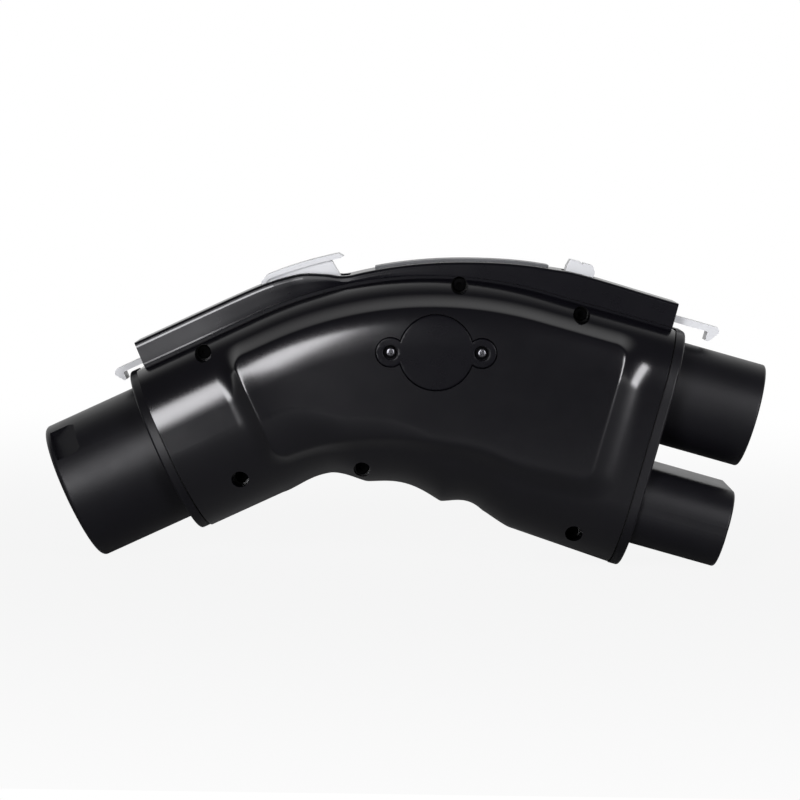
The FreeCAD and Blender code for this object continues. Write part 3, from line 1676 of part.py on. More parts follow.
def service_port():
    """Round connector behind the cap, with a keyed rim and a centre tongue."""
    depth = size("port_depth")
    radius = size("port_radius")
    z = size("cap_height")
    front = BOARD_FRONT - depth
    along = V(0, 1, 0)
    barrel = Part.makeCylinder(radius, depth, V(0, front, z), along)
    bore = Part.makeCylinder(radius - 1.6, depth - 3, V(0, front, z), along)
    tongue = Part.makeBox(7.2, depth - 1.5, 2.0, V(-3.6, front + 1.5, z - 1.0))
    key = Part.makeBox(2.4, depth - 3, 2.0, V(-1.2, front, z + radius - 2.2))
    return barrel.cut([bore, key]).fuse(tongue)


feature("board_headers", headers(), BEND_TOP)
feature("board_components", board_components(), BEND_TOP)
feature("service_port", service_port(), BEND_TOP)


# Backup cell in its holder on the far wall

CELL_Z = -1.0
CELL_HALF = size("cell_length") / 2
FAR_WALL = size("half_width") - size("wall")


def backup_cell():
    radius = size("cell_radius")
    cap = 1.0
    y = size("cell_offset")
    return revolve([
        (-CELL_HALF, 0), (-CELL_HALF, radius - 0.8), (-CELL_HALF + 0.8, radius),
        (CELL_HALF - cap - 0.8, radius), (CELL_HALF - cap, radius - 0.8),
        (CELL_HALF - cap, radius * 0.35), (CELL_HALF, radius * 0.35), (CELL_HALF, 0),
    ], y, CELL_Z)


def cell_holder():
    """Cradle with two end plates."""
    radius = size("cell_radius")
    gap = size("fit_gap")
    y = size("cell_offset")
    plate = size("cell_plate")
    outer = CELL_HALF + gap + plate
    cradle = Part.makeBox(2 * outer, FAR_WALL - y - 2, 12, V(-outer, y + 2, CELL_Z - 7))
    plates = [
        Part.makeBox(plate, FAR_WALL - y + radius * 0.8, 12, V(x, y - radius * 0.8, CELL_Z - 7))
        for x in (-outer, outer - plate)
    ]
    room = Part.makeCylinder(
        radius + gap, 2 * (CELL_HALF + gap), V(-CELL_HALF - gap, y, CELL_Z), V(1, 0, 0)
    )
    return cradle.multiFuse(plates).cut(room).removeSplitter()


feature("backup_cell", backup_cell(), BEND_TOP)
feature("cell_holder", cell_holder(), BEND_TOP)


# Earth strap, signal leads, pilot leads, sensor and cell leads

LEAD_BEND = 6.0
STRAP_BEND = 14.0


def earth_strap():
    height = size("upper_barrel_height") - size("earth_socket_drop")
    return lead([
        left_point(size("pin_tail"), 0, -size("earth_pin_drop")),
        left_point(36, 0, -size("earth_pin_drop")),
        top_point(-22, 0, -19),
        top_point(28, 0, -17),
        right_point(16, 0, height),
        right_point(SOCKET_BACK, 0, height),
    ], size("strap_radius"), STRAP_BEND)


def header_slot(side, index, count):
    """Place where a lead enters a header's outer face."""
    pitch = 2.4
    return top_point(side * BOARD_HALF, BOARD_BACK + 3, (index - (count - 1) / 2) * pitch)


def lead_to_header(first_points, side, index, count, bend):
    slot = header_slot(side, index, count)
    approach = slot + V(side * 12, 0, 0)
    return lead(first_points + [approach, slot], size("lead_radius"), bend)


LEFT_SLOTS = 7
RIGHT_SLOTS = 5


def signal_leads():
    """Leads of the small pins; those under the bars pass up between them."""
    tail = size("pin_tail")
    leads = []
    for index, (y, z) in enumerate(AUXILIARY_PINS):
        middle = math.copysign(4.5, y)
        points = [
            left_point(tail, y, z), left_point(tail + 7, y, z),
            left_point(tail + 16, middle, z + 3), left_point(tail + 31, middle, -1),
        ]
        leads.append(lead_to_header(points, -1, index + 1, LEFT_SLOTS, 2.5))
    for index, (y, z) in enumerate(SIGNAL_PINS):
        points = [left_point(tail, y, z), left_point(tail + 12, y, z)]
        leads.append(lead_to_header(points, -1, index + 3, LEFT_SLOTS, LEAD_BEND))
    return Part.Compound(leads)


def pilot_leads():
    return Part.Compound([
        lead_to_header(
            [right_point(SOCKET_BACK, y, z), right_point(SOCKET_BACK - 12, y, z)],
            1, index + 1, RIGHT_SLOTS, LEAD_BEND,
        )
        for index, (y, z) in enumerate(PILOT_SOCKETS)
    ])


def latch_sensor():
    """Sensor under the deck that reads where the latch lever stands."""
    ceiling = DECK - size("wall")
    half = size("sensor_half_width")
    along = size("sensor_along")
    body = Part.makeBox(
        size("sensor_length"), 2 * half, size("sensor_height"),
        V(along, -half, ceiling - size("sensor_height")),
    )
    nub = Part.makeCylinder(1.0, 0.8, V(along + 2.2, 0, ceiling - size("sensor_height") - 0.8))
    return body.fuse(nub)


def sensor_leads():
    """Two leads that drop from the sensor and turn to the board."""
    underside = DECK - size("wall") - size("sensor_height")
    start = size("sensor_along") + size("sensor_length") - 2
    leads = []
    for index, y in enumerate((-1.2, 1.2)):
        slot = header_slot(1, index + 3, RIGHT_SLOTS)
        rise = 2.4 * index
        leads.append(lead([
            right_point(start, y, underside), right_point(start, y, 21 + rise),
            right_point(14, -17, 15 + rise), slot + V(12, 0, 0), slot,
        ], size("lead_radius") * 0.75, 2.5))
    return Part.Compound(leads)


def cell_leads():
    outer = CELL_HALF + size("fit_gap") + size("cell_plate")
    y = size("cell_offset")
    leads = []
    for side, count in ((-1, LEFT_SLOTS), (1, RIGHT_SLOTS)):
        slot = header_slot(side, 0, count)
        leads.append(lead([
            top_point(side * outer, y, CELL_Z - 3),
            top_point(side * (outer + 7), y, CELL_Z - 3),
            V(slot.x + side * 9, slot.y, slot.z),
            slot,
        ], size("lead_radius"), 3.0))
    return Part.Compound(leads)


feature("earth_strap", earth_strap(), REST)
feature("signal_leads", signal_leads(), REST)
feature("pilot_leads", pilot_leads(), REST)
feature("latch_sensor", latch_sensor(), RIGHT_END)
feature("sensor_leads", sensor_leads(), REST)
feature("cell_leads", cell_leads(), REST)


# Check every object, then write one file for each sub-part

doc.recompute()
for item in doc.Objects:
    if "Invalid" in item.State or "Error" in item.State:
        raise RuntimeError(f"{item.Name} has failed: {item.State}")
for node in nodes:
    if node.Shape.isNull() or not node.Shape.isValid():
        raise RuntimeError(f"{node.Label} has no valid shape")

os.makedirs("parts", exist_ok=True)
for node in nodes:
    node.Shape.exportStep(f"parts/{node.Label}.step")
print(len(nodes), "sub-parts written")
for name, frame, pivot in (
    ("round", LEFT_FRAME, LEFT_PIVOT),
    ("combo", RIGHT_FRAME, RIGHT_PIVOT),
):
    place = REST.multVec(frame.multVec(V(pivot[0], 0, pivot[1])))
    print(name, "latch axis at", round(place.x, 3), round(place.z, 3))
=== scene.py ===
"""Looks of the charging adapter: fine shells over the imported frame, finishes, light and camera."""

import json
import math

import bmesh
import bpy
import numpy as np
from mathutils import Matrix, Vector

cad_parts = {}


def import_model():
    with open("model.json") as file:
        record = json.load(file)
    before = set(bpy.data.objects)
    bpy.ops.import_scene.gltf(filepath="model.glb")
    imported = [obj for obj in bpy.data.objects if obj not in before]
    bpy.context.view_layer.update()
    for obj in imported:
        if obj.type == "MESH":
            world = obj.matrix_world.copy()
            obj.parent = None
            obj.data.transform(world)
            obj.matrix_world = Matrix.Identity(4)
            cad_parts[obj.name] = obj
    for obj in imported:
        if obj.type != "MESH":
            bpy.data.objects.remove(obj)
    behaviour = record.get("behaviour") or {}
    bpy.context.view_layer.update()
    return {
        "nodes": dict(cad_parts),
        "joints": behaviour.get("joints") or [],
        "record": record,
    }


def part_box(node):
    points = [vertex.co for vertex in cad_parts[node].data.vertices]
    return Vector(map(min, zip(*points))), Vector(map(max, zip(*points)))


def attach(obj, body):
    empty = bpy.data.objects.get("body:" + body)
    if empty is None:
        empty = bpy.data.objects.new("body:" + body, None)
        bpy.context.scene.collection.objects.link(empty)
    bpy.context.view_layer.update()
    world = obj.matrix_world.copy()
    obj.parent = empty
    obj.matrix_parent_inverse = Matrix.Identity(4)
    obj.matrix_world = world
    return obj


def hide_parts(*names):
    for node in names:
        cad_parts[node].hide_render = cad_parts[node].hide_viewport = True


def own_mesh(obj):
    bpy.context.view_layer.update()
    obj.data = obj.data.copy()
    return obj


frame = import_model()
NODES = frame["nodes"]
MM = 0.001

# Driving sizes in millimetres: the solids' own, but for the panel's top edge, which is 1.3 lower

BEND = 136.0
LEFT = math.radians(25.3)
RIGHT = math.radians(15.1)
LEFT_RUN = 55.0
RIGHT_RUN = 56.0
ARC_LENGTH = BEND * (LEFT + RIGHT)
RIGHT_TANGENT = LEFT_RUN + ARC_LENGTH
LINE_LENGTH = RIGHT_TANGENT + RIGHT_RUN
BEND_TOP = LEFT_RUN + BEND * LEFT
LEFT_PIVOT = (38.0, 39.6)
RIGHT_PIVOT = (43.0, 40.4)

HALF_WIDTH = 36.5
SHOULDER = 28.0
SHOULDER_Y = HALF_WIDTH - SHOULDER
SHOULDER_Z = 36.8 - SHOULDER
DECK = 35.6
WALL = 3.0
END_WALL = 4.0
RIDGES = ((33.0, 36.4), (73.0, 45.7), (120.0, 57.3), (163.5, 62.1))
GROOVES = (4.4, 1.9, 3.4)
GROOVE_SHARPNESS = 1.4
HEEL_DEPTH = 64.7
NECK_CORNER = 36.0
HEEL_CORNER = 28.0

PANEL_RISE = 4.0
PANEL_LEFT = 39.0
PANEL_RIGHT = RIGHT_TANGENT + 37.5
PANEL_TOP = 24.7
PANEL_FOOT = (
    (PANEL_LEFT, 20.4), (73.0, 24.6), (110.0, 29.5), (163.5, 33.8), (PANEL_RIGHT, 32.7),
)
FACE = HALF_WIDTH + PANEL_RISE

# Station and height of the six housing screws, the three along the top first

SCREW_PLACES = (
    (28.7, DECK - 4.3),
    (BEND_TOP + 7.6, DECK - 2.4),
    (RIGHT_TANGENT + 16.4, DECK - 4.0),
    (RIGHT_TANGENT + 38.0, 7.6 - 63.0),
    (73.0, 7.1 - 45.7),
    (21.1, 14.6 - 36.4),
)


# The bent centre line: station along it and height above it to the side view

def spine(station, height):
    """Side-view point (x, z) at a station and a height, in the bend's own frame."""
    station = np.asarray(station, float)
    height = np.asarray(height, float)
    on_arc = np.clip(station, LEFT_RUN, RIGHT_TANGENT)
    angle = (on_arc - LEFT_RUN) / BEND - LEFT
    along = station - on_arc
    x = (BEND + height) * np.sin(angle) + along * np.cos(angle)
    z = (BEND + height) * np.cos(angle) - along * np.sin(angle)
    return x, z


def fitted_rest():
    """Turn and shift that put the bend's frame on the frame's two latch axes."""
    places = {}
    for joint in frame["joints"]:
        places[joint["name"]] = (joint["pos_m"][0] / MM, joint["pos_m"][2] / MM)
    ax, az = spine(*LEFT_PIVOT)
    bx, bz = spine(RIGHT_TANGENT + RIGHT_PIVOT[0], RIGHT_PIVOT[1])
    (px, pz), (qx, qz) = places["round_latch_press"], places["combo_latch_press"]
    turn = math.atan2(qz - pz, qx - px) - math.atan2(bz - az, bx - ax)
    cos, sin = math.cos(turn), math.sin(turn)
    return cos, sin, px - (ax * cos - az * sin), pz - (ax * sin + az * cos)


COS, SIN, SHIFT_X, SHIFT_Z = fitted_rest()


def world(x, y, z):
    """Points of the bend's frame, in millimetres, as an array of world points in metres."""
    x, y, z = np.broadcast_arrays(x, y, z)
    out = np.stack([x * COS - z * SIN + SHIFT_X, y, x * SIN + z * COS + SHIFT_Z], -1)
    return out * MM


def at_station(station, height):
    """Side-view point at a station and a height, as plain numbers."""
    x, z = spine(station, height)
    return float(x), float(z)


# Housing section

def blend(value, start, end, low, high):
    """Straight change from one level to another between two stations."""
    return low + (high - low) * np.clip((value - start) / (end - start), 0, 1)


def belly_depth(station):
    """Depth of the belly, with the hollows for the fingers between its ridges."""
    station = np.asarray(station, float)
    depth = np.full(station.shape, RIDGES[0][1])
    for (start, low), (end, high), groove in zip(RIDGES, RIDGES[1:], GROOVES):
        share = np.clip((station - start) / (end - start), 0, 1)
        hollow = groove * np.abs(np.sin(math.pi * share)) ** GROOVE_SHARPNESS
        inside = (station > start) & (station <= end)
        depth = np.where(inside, low + (high - low) * share - hollow, depth)
    last = blend(station, RIDGES[-1][0], LINE_LENGTH, RIDGES[-1][1], HEEL_DEPTH)
    return np.where(station > RIDGES[-1][0], last, depth)


def belly_corner(station):
    """Radius of the belly's lower corners."""
    return blend(station, RIDGES[0][0], RIDGES[2][0], NECK_CORNER, HEEL_CORNER)


# Raised panel: reach and curve of its walls on each side, softness of their edges, and the
# slight hollow of its face beside the left wall

EDGE_PHI = math.asin((PANEL_TOP - SHOULDER_Z) / (SHOULDER + PANEL_RISE))
PANEL_CORNER = 5.0
WALL_TOP = 9.5
WALL_LEFT = 10.5
WALL_RIGHT = 13.0
WALL_FOOT = 8.0
TOP_CURVE = 1.8
LEFT_CURVE = 3.2
RIGHT_CURVE = 2.25
FOOT_CURVE = 1.9
EDGE_SOFTNESS = 0.5
LEFT_SOFTNESS = 0.55
FOOT_SOFTNESS = 0.9
SINK = 0.6
SINK_REACH = 18.0
FOOT_CHANGE = 16.0


def foot_arc(station):
    """Arc length, from the shoulder's start, at which the panel ends below."""
    stations, depths = zip(*PANEL_FOOT)
    depth = np.interp(station, stations, depths)
    corner = belly_corner(station)
    low = corner - belly_depth(station)
    sink = np.clip((low + depth) / (corner + PANEL_RISE), 0, 0.95)
    on_flat = -depth - SHOULDER_Z
    on_arc = (low - SHOULDER_Z) - corner * np.arcsin(sink)
    return np.where(-depth > low, on_flat, on_arc)


def panel_rise(station, arc):
    """How far the skin stands out at a station and an arc length up the section."""
    # Distance to the panel's outline, which has round corners
    top = arc - SHOULDER * EDGE_PHI
    foot = foot_arc(station) - arc
    across = np.maximum(PANEL_LEFT - station, station - PANEL_RIGHT)
    upright = np.maximum(top, foot)
    dx = np.maximum(across + PANEL_CORNER, 0)
    dy = np.maximum(upright + PANEL_CORNER, 0)
    inner = np.minimum(np.maximum(across, upright) + PANEL_CORNER, 0)
    distance = np.hypot(dx, dy) + inner - PANEL_CORNER
    # Reach and curve of the wall there, mixed from the side's and the top's or foot's
    side_share = dx ** 2 / np.maximum(dx ** 2 + dy ** 2, 1e-9)
    low_share = np.clip((foot - top) / FOOT_CHANGE + 0.5, 0, 1)
    upright_wall = WALL_TOP + (WALL_FOOT - WALL_TOP) * low_share
    at_left = station < BEND_TOP
    side_wall = np.where(at_left, WALL_LEFT, WALL_RIGHT)
    wall = upright_wall + (side_wall - upright_wall) * side_share
    side_power = np.where(at_left, LEFT_CURVE, RIGHT_CURVE)
    upright_power = TOP_CURVE + (FOOT_CURVE - TOP_CURVE) * low_share
    power = upright_power + (side_power - upright_power) * side_share
    share = distance / wall
    curve = np.where(share < 0, 1 - power * share, (1 - np.clip(share, 0, 1)) ** power)
    # Soft change from the flat face to the wall, and the hollow of the face
    missing = PANEL_RISE * (1 - curve)
    soft = EDGE_SOFTNESS + (FOOT_SOFTNESS - EDGE_SOFTNESS) * low_share * (1 - side_share)
    soft = np.where(at_left, soft + (LEFT_SOFTNESS - soft) * side_share, soft)
    cut = (missing + np.sqrt(missing ** 2 + soft ** 2)) / 2
    inward = np.maximum(station - PANEL_LEFT, 0) / SINK_REACH
    sink = SINK * inward * np.exp(1 - inward)
    return np.clip(PANEL_RISE - cut, 0, PANEL_RISE) * (1 - sink / PANEL_RISE)


def spread(start, end, count):
    """Even steps from a start, which is left out, to an end."""
    return np.linspace(start, end, count + 1)[1:]


# Angles up the shoulder's arc, closest together at the panel's top edge

DECK_PHI = math.asin((DECK - SHOULDER_Z) / SHOULDER)
EDGE_FROM = EDGE_PHI - 0.1
EDGE_TO = EDGE_PHI + 0.12
FINE_PHI = np.concatenate([
    spread(0, EDGE_FROM, 15), spread(EDGE_FROM, EDGE_TO, 25), spread(EDGE_TO, DECK_PHI, 31),
])
COARSE_PHI = spread(0, DECK_PHI, 14)


def half_section(stations, grow=0.0, fine=True):
    """Near-side section points from the bottom centre to the top centre: y and height."""
    s = np.asarray(stations, float)[:, None]
    corner = belly_corner(s)
    depth = belly_depth(s)
    low_y = HALF_WIDTH - corner
    low_z = corner - depth
    arc_steps = 60 if fine else 14
    flat_steps = 26 if fine else 4
    phi = FINE_PHI if fine else COARSE_PHI
    rows = []

    def add(cy, cz, radius, ny, nz, arc):
        """Stretch of the section about a centre, with its outward direction."""
        rise = panel_rise(s, arc) if fine else 0.0
        reach = radius + grow + rise
        rows.append(np.broadcast_arrays(cy + reach * ny, cz + reach * nz + 0 * s))

    belly = np.linspace(0, 1, 5)[None, :]
    below_panel = -99.0 + 0 * s * belly
    add(-low_y * belly, -depth, 0.0, 0.0, -1.0, below_panel)
    theta = spread(math.pi / 2, 0, arc_steps)[None, :]
    add(-low_y, low_z, corner, -np.cos(theta), -np.sin(theta),
        low_z - SHOULDER_Z - corner * theta)
    climb = spread(0, 1, flat_steps)[None, :]
    height = low_z + (SHOULDER_Z - low_z) * climb
    add(-HALF_WIDTH, height, 0.0, -1.0, 0.0, height - SHOULDER_Z)
    rise_phi = phi[None, :]
    add(-SHOULDER_Y, SHOULDER_Z, SHOULDER, -np.cos(rise_phi), np.sin(rise_phi),
        SHOULDER * rise_phi + 0 * s)
    edge_y = -(SHOULDER_Y + (SHOULDER + grow) * math.cos(phi[-1]))
    deck = np.linspace(1, 0, 6)[None, 1:]
    y = edge_y * deck + 0 * s
    deck_height = DECK + grow
    rows.append((y, deck_height + 0 * y))
    ys = np.concatenate([row[0] for row in rows], 1)
    zs = np.concatenate([row[1] for row in rows], 1)
    return ys, np.minimum(zs, deck_height)


# Mesh helpers

def new_object(name, mesh):
    """Object of a mesh, in the scene."""
    obj = bpy.data.objects.new(name, mesh)
    bpy.context.scene.collection.objects.link(obj)
    return obj


def object_from(name, points, faces):
    """Object from points and faces, with its normals outward."""
    mesh = bpy.data.meshes.new(name)
    mesh.from_pydata([tuple(p) for p in points], [], faces)
    mesh.validate()
    work = bmesh.new()
    work.from_mesh(mesh)
    bmesh.ops.recalc_face_normals(work, faces=work.faces)
    work.to_mesh(mesh)
    work.free()
    return new_object(name, mesh)


def tube(name, rings):
    """Closed solid through rings of world points, each ring a closed loop."""
    count, around = rings.shape[:2]
    points = rings.reshape(-1, 3)
    faces = []
    for ring in range(count - 1):
        here, ahead = ring * around, (ring + 1) * around
        for j in range(around):
            k = (j + 1) % around
            faces.append((here + j, here + k, ahead + k, ahead + j))
    faces.append(tuple(range(around)))
    faces.append(tuple(range((count - 1) * around, count * around)))
    return object_from(name, points, faces)


def turned_y(name, x, z, profile, segments=48):
    """Closed solid turned about a line along Y; the profile is pairs of y and radius."""
    angle = np.linspace(0, 2 * math.pi, segments, endpoint=False)
    rings = [
        world(x + radius * np.cos(angle), y, z + radius * np.sin(angle))
        for y, radius in profile
    ]
    return tube(name, np.array(rings))


# Sides of a four-cornered ring, low and high on one side, then high and low on the other

ACROSS = np.array([-1.0, -1.0, 1.0, 1.0])


def prism_y(name, outline, y_from, y_to):
    """Closed solid with a side-view outline between two values of Y."""
    outline = np.array(outline, float)
    rings = [world(outline[:, 0], y, outline[:, 1]) for y in (y_from, y_to)]
    return tube(name, np.array(rings))


def combine(target, others, operation):
    """Boolean of the target with each other solid, kept in the target's mesh."""
    for other in others:
        step = target.modifiers.new("combine", "BOOLEAN")
        step.operation = operation
        step.solver = "MANIFOLD"
        step.object = other
    bpy.context.view_layer.update()
    depsgraph = bpy.context.evaluated_depsgraph_get()
    mesh = bpy.data.meshes.new_from_object(target.evaluated_get(depsgraph))
    old = target.data
    target.modifiers.clear()
    target.data = mesh
    bpy.data.meshes.remove(old)
    for other in others:
        gone = other.data
        bpy.data.objects.remove(other)
        bpy.data.meshes.remove(gone)
    return target


SHARP_ANGLE = math.radians(32)


def smooth(obj):
    """Smooth shading with the sharp edges kept."""
    mesh = obj.data
    mesh.shade_smooth()
    mesh.set_sharp_from_angle(angle=SHARP_ANGLE)


def mirrored(name, source):
    """Copy of a piece on the other side of the middle plane."""
    mesh = source.data.copy()
    mesh.transform(Matrix.Scale(-1, 4, Vector((0, 1, 0))))
    mesh.flip_normals()
    return new_object(name, mesh)


# Housing shells

SMALLEST_STEP = 0.17


def fine_stations():
    """Stations of the outer form, closest together at the panel's two ends."""
    marks = [np.linspace(0, LINE_LENGTH, 190)]
    for edge in (PANEL_LEFT, PANEL_RIGHT):
        marks.append(np.linspace(edge - 10, edge + 3, 44))
        marks.append(np.linspace(edge - 3, edge + 10, 44))
    stations = np.unique(np.round(np.concatenate(marks), 3))
    keep = [stations[0]]
    for station in stations[1:]:
        if station - keep[-1] > SMALLEST_STEP:
            keep.append(station)
    keep[-1] = LINE_LENGTH
    return np.array(keep)


def outer_half(name):
    """Solid near half of the housing's outer form, with the raised panel."""
    stations = fine_stations()
    y, height = half_section(stations)
    x, z = spine(stations[:, None] + 0 * height, height)
    return tube(name, world(x, np.minimum(y, 0), z))


def cavity():
    """Hollow inside the housing, both halves at once."""
    stations = np.linspace(END_WALL, LINE_LENGTH - END_WALL, 60)
    y, height = half_section(stations, -WALL, fine=False)
    ys = np.concatenate([y, -y[:, -2:0:-1]], 1)
    heights = np.concatenate([height, height[:, -2:0:-1]], 1)
    x, z = spine(stations[:, None] + 0 * heights, heights)
    return tube("cavity", world(x, ys, z))


# Half of a cutter that has to pass right through

CLEAR = 60.0

# Housing screws: wide hole down to the head's seat, boss round it and narrow hole for the thread

ACCESS_RADIUS = 3.5
ACCESS_SEAT = -14.0
BOSS_RADIUS = 5.0
PILOT_RADIUS = 1.55
PILOT_END = 12

# Service cap: a disc with two ears, its place, and the gap round it with its bevelled edge

CAP_HEIGHT = 6.5
CAP_X, CAP_Z = 0.0, BEND + CAP_HEIGHT
CAP_RADIUS = 15.2
EAR_OFFSET = 18.5
EAR_RADIUS = 5.9
DISC_STEPS = 70
EAR_STEPS = 44
CAP_GAP = 0.3
CAP_CHAMFER = 0.25
CAP_SINK = 0.15
CAP_SEAT = -34.5
CAP_SCREW_HOLE = 1.25
CAP_SCREW_HOLE_END = -32.5


def cap_outline(gap):
    """Disc with a round ear on each side, as points anticlockwise, larger by a gap."""
    disc = CAP_RADIUS + gap
    ear = EAR_RADIUS + gap
    meet = math.acos((disc ** 2 + EAR_OFFSET ** 2 - ear ** 2) / (2 * disc * EAR_OFFSET))
    open_angle = math.pi - math.acos(
        (ear ** 2 + EAR_OFFSET ** 2 - disc ** 2) / (2 * ear * EAR_OFFSET)
    )
    around = np.linspace(-open_angle, open_angle, EAR_STEPS)
    over = np.linspace(meet, math.pi - meet, DISC_STEPS)[1:-1]
    right = np.stack([EAR_OFFSET + ear * np.cos(around), ear * np.sin(around)], 1)
    top = np.stack([disc * np.cos(over), disc * np.sin(over)], 1)
    half = np.concatenate([right, top])
    return np.concatenate([half, -half]) + np.array([CAP_X, CAP_Z])


def skin_y(x, z):
    """Y of the raised panel's skin at points of the bend's arc."""
    height = np.hypot(x, z) - BEND - SHOULDER_Z
    radius = SHOULDER + PANEL_RISE
    bulge = np.sqrt(np.clip(radius ** 2 - np.clip(height, 0, None) ** 2, 0, None))
    return -(SHOULDER_Y + bulge)


def bored(name, x, z, radius, y_from, y_to, segments=48):
    """Plain cylinder along Y."""
    return turned_y(name, x, z, [(y_from, radius), (y_to, radius)], segments)


def boss_cylinders():
    """Bars through both halves where the six screw bosses stand."""
    return [
        bored("boss", *at_station(station, height), BOSS_RADIUS, -CLEAR, CLEAR)
        for station, height in SCREW_PLACES
    ]


# Ears on the deck that hold the latch axles

LUG_RADIUS = 3.3
LUG_THICKNESS = 3.0
LUG_BORE = 1.63
LUG_INSIDE = 6.9


def lug(along, height, station_offset, y_from):
    """Ear on the deck for one end of a latch axle."""
    low = DECK - 1
    outline = [(along + LUG_RADIUS, low)]
    for angle in np.linspace(0, math.pi, 13):
        outline.append((
            along + LUG_RADIUS * math.cos(angle), height + LUG_RADIUS * math.sin(angle),
        ))
    outline.append((along - LUG_RADIUS, low))
    points = [at_station(station_offset + px, pz) for px, pz in outline]
    ear = prism_y("lug", points, y_from, y_from + LUG_THICKNESS)
    x, z = at_station(station_offset + along, height)
    bore = bored("bore", x, z, LUG_BORE, y_from - 1, y_from + LUG_THICKNESS + 1)
    return combine(ear, [bore], "DIFFERENCE")


# Openings in the end walls: round on the left, and on the right the end's outline, inset

OPENING_REACH = 8.0
LEFT_OPENING = 26.6
RIGHT_TOP = 36.1
RIGHT_BOTTOM = 65.0
RIGHT_TOP_CORNER = 27.0
RIGHT_BOTTOM_CORNER = 28.0
RIGHT_INSET = 7.9
CORNER_STEPS = 12


def rounded_loop(half_width, top, bottom, top_corner, bottom_corner):
    """Rounded outline across the axis as pairs of y and height."""
    corners = (
        (half_width - top_corner, top - top_corner, top_corner, 0),
        (top_corner - half_width, top - top_corner, top_corner, 90),
        (bottom_corner - half_width, bottom_corner - bottom, bottom_corner, 180),
        (half_width - bottom_corner, bottom_corner - bottom, bottom_corner, 270),
    )
    points = []
    for cy, cz, radius, start in corners:
        for turn in np.radians(np.linspace(start, start + 90, CORNER_STEPS)):
            points.append((cy + radius * math.cos(turn), cz + radius * math.sin(turn)))
    return np.array(points)


def opening(name, station, outline):
    """Cutter through one end wall with an outline of y and height."""
    rings = []
    for end in (station - OPENING_REACH, station + OPENING_REACH):
        x, z = spine(end + 0 * outline[:, 1], outline[:, 1])
        rings.append(world(x, outline[:, 0], z))
    return tube(name, np.array(rings))


def neck_openings():
    """Holes in the end walls for the two connector necks."""
    angle = np.linspace(0, 2 * math.pi, 96, endpoint=False)
    circle = LEFT_OPENING * np.stack([np.cos(angle), np.sin(angle)], 1)
    sizes = (HALF_WIDTH, RIGHT_TOP, RIGHT_BOTTOM, RIGHT_TOP_CORNER, RIGHT_BOTTOM_CORNER)
    loop = rounded_loop(*[size - RIGHT_INSET for size in sizes])
    return [opening("left_opening", 0.0, circle), opening("right_opening", LINE_LENGTH, loop)]


def latch_lugs(y_from):
    """The ears of one half for the two latch axles."""
    return [lug(*LEFT_PIVOT, 0.0, y_from), lug(*RIGHT_PIVOT, RIGHT_TANGENT, y_from)]


# Posts for the board, rim round the cap's seat and the opening behind the cap

POST_ALONG = 30.0
POST_UP = 11.0
POST_RADIUS = 3.0
POST_END = -21.6
CAP_RIM = 3.0
CAP_RIM_END = -30.5
SERVICE_RADIUS = 11.8


def near_shell():
    """Near half: bosses, board posts, latch ears, screw holes and the cap's seat."""
    shell = outer_half("near_shell_skin")
    blocks = boss_cylinders()
    for x in (-POST_ALONG, POST_ALONG):
        for up in (-POST_UP, POST_UP):
            blocks.append(bored("post", x, BEND + up, POST_RADIUS, -CLEAR, POST_END))
    blocks.append(prism_y("cap_rim", cap_outline(CAP_RIM), -CLEAR, CAP_RIM_END))
    hollow = combine(cavity(), blocks, "DIFFERENCE")
    combine(shell, [hollow], "DIFFERENCE")
    combine(shell, latch_lugs(-LUG_INSIDE - LUG_THICKNESS), "UNION")
    cutters = neck_openings()
    for station, height in SCREW_PLACES:
        x, z = at_station(station, height)
        cutters.append(bored("access", x, z, ACCESS_RADIUS, -CLEAR, ACCESS_SEAT, 64))
        cutters.append(bored("pilot", x, z, PILOT_RADIUS, ACCESS_SEAT - 1, 1, 24))
    wide = CAP_GAP + CAP_CHAMFER
    levels = ((wide, -20), (wide, -0.1), (CAP_GAP, CAP_CHAMFER), (CAP_GAP, 12))
    seat = outline_tube("cap_seat", levels)
    cutters.append(combine(seat, [behind_cap()], "DIFFERENCE"))
    cutters.append(bored("service", CAP_X, CAP_Z, SERVICE_RADIUS, -40, -20))
    for x in (CAP_X - EAR_OFFSET, CAP_X + EAR_OFFSET):
        cutters.append(bored("thread", x, CAP_Z, CAP_SCREW_HOLE, -CLEAR, CAP_SCREW_HOLE_END, 24))
    return combine(shell, cutters, "DIFFERENCE")


def far_shell():
    """Far half: the near one's outer form on the other side, without holes from outside."""
    near = outer_half("far_form")
    shell = mirrored("far_shell_skin", near)
    form = near.data
    bpy.data.objects.remove(near)
    bpy.data.meshes.remove(form)
    hollow = combine(cavity(), boss_cylinders(), "DIFFERENCE")
    combine(shell, [hollow], "DIFFERENCE")
    combine(shell, latch_lugs(LUG_INSIDE), "UNION")
    cutters = neck_openings()
    for station, height in SCREW_PLACES:
        x, z = at_station(station, height)
        cutters.append(bored("pilot", x, z, PILOT_RADIUS, -1, PILOT_END, 24))
    return combine(shell, cutters, "DIFFERENCE")


# Latch cover: its ends, the height of its top along the bend, and its section

COVER_FROM = 3.6
COVER_TO = RIGHT_TANGENT + 54.4
CREST = (
    (COVER_FROM - 30, 46.7), (COVER_FROM, 46.7), (LEFT_RUN, 46.7), (71.4, 45.6), (79.3, 42.8),
    (85.0, 40.2), (91.0, 40.2), (125.0, 42.9), (150.0, 46.1), (162.0, 47.3),
    (COVER_TO, 46.8), (COVER_TO + 30, 46.8),
)
COVER_HALF = 17.0
FOOT_HALF = 16.4
FOOT_BEVEL = 0.12
COVER_LIFT = 1.1
COVER_FOOT = DECK + COVER_LIFT
COVER_EDGE = 1.6
COVER_TOP = 2.0
CHANNEL_HALF = 12.0
STRIP_HEIGHT = 0.7

# How far the sides lean in: first and last station of each change, and the lean at both

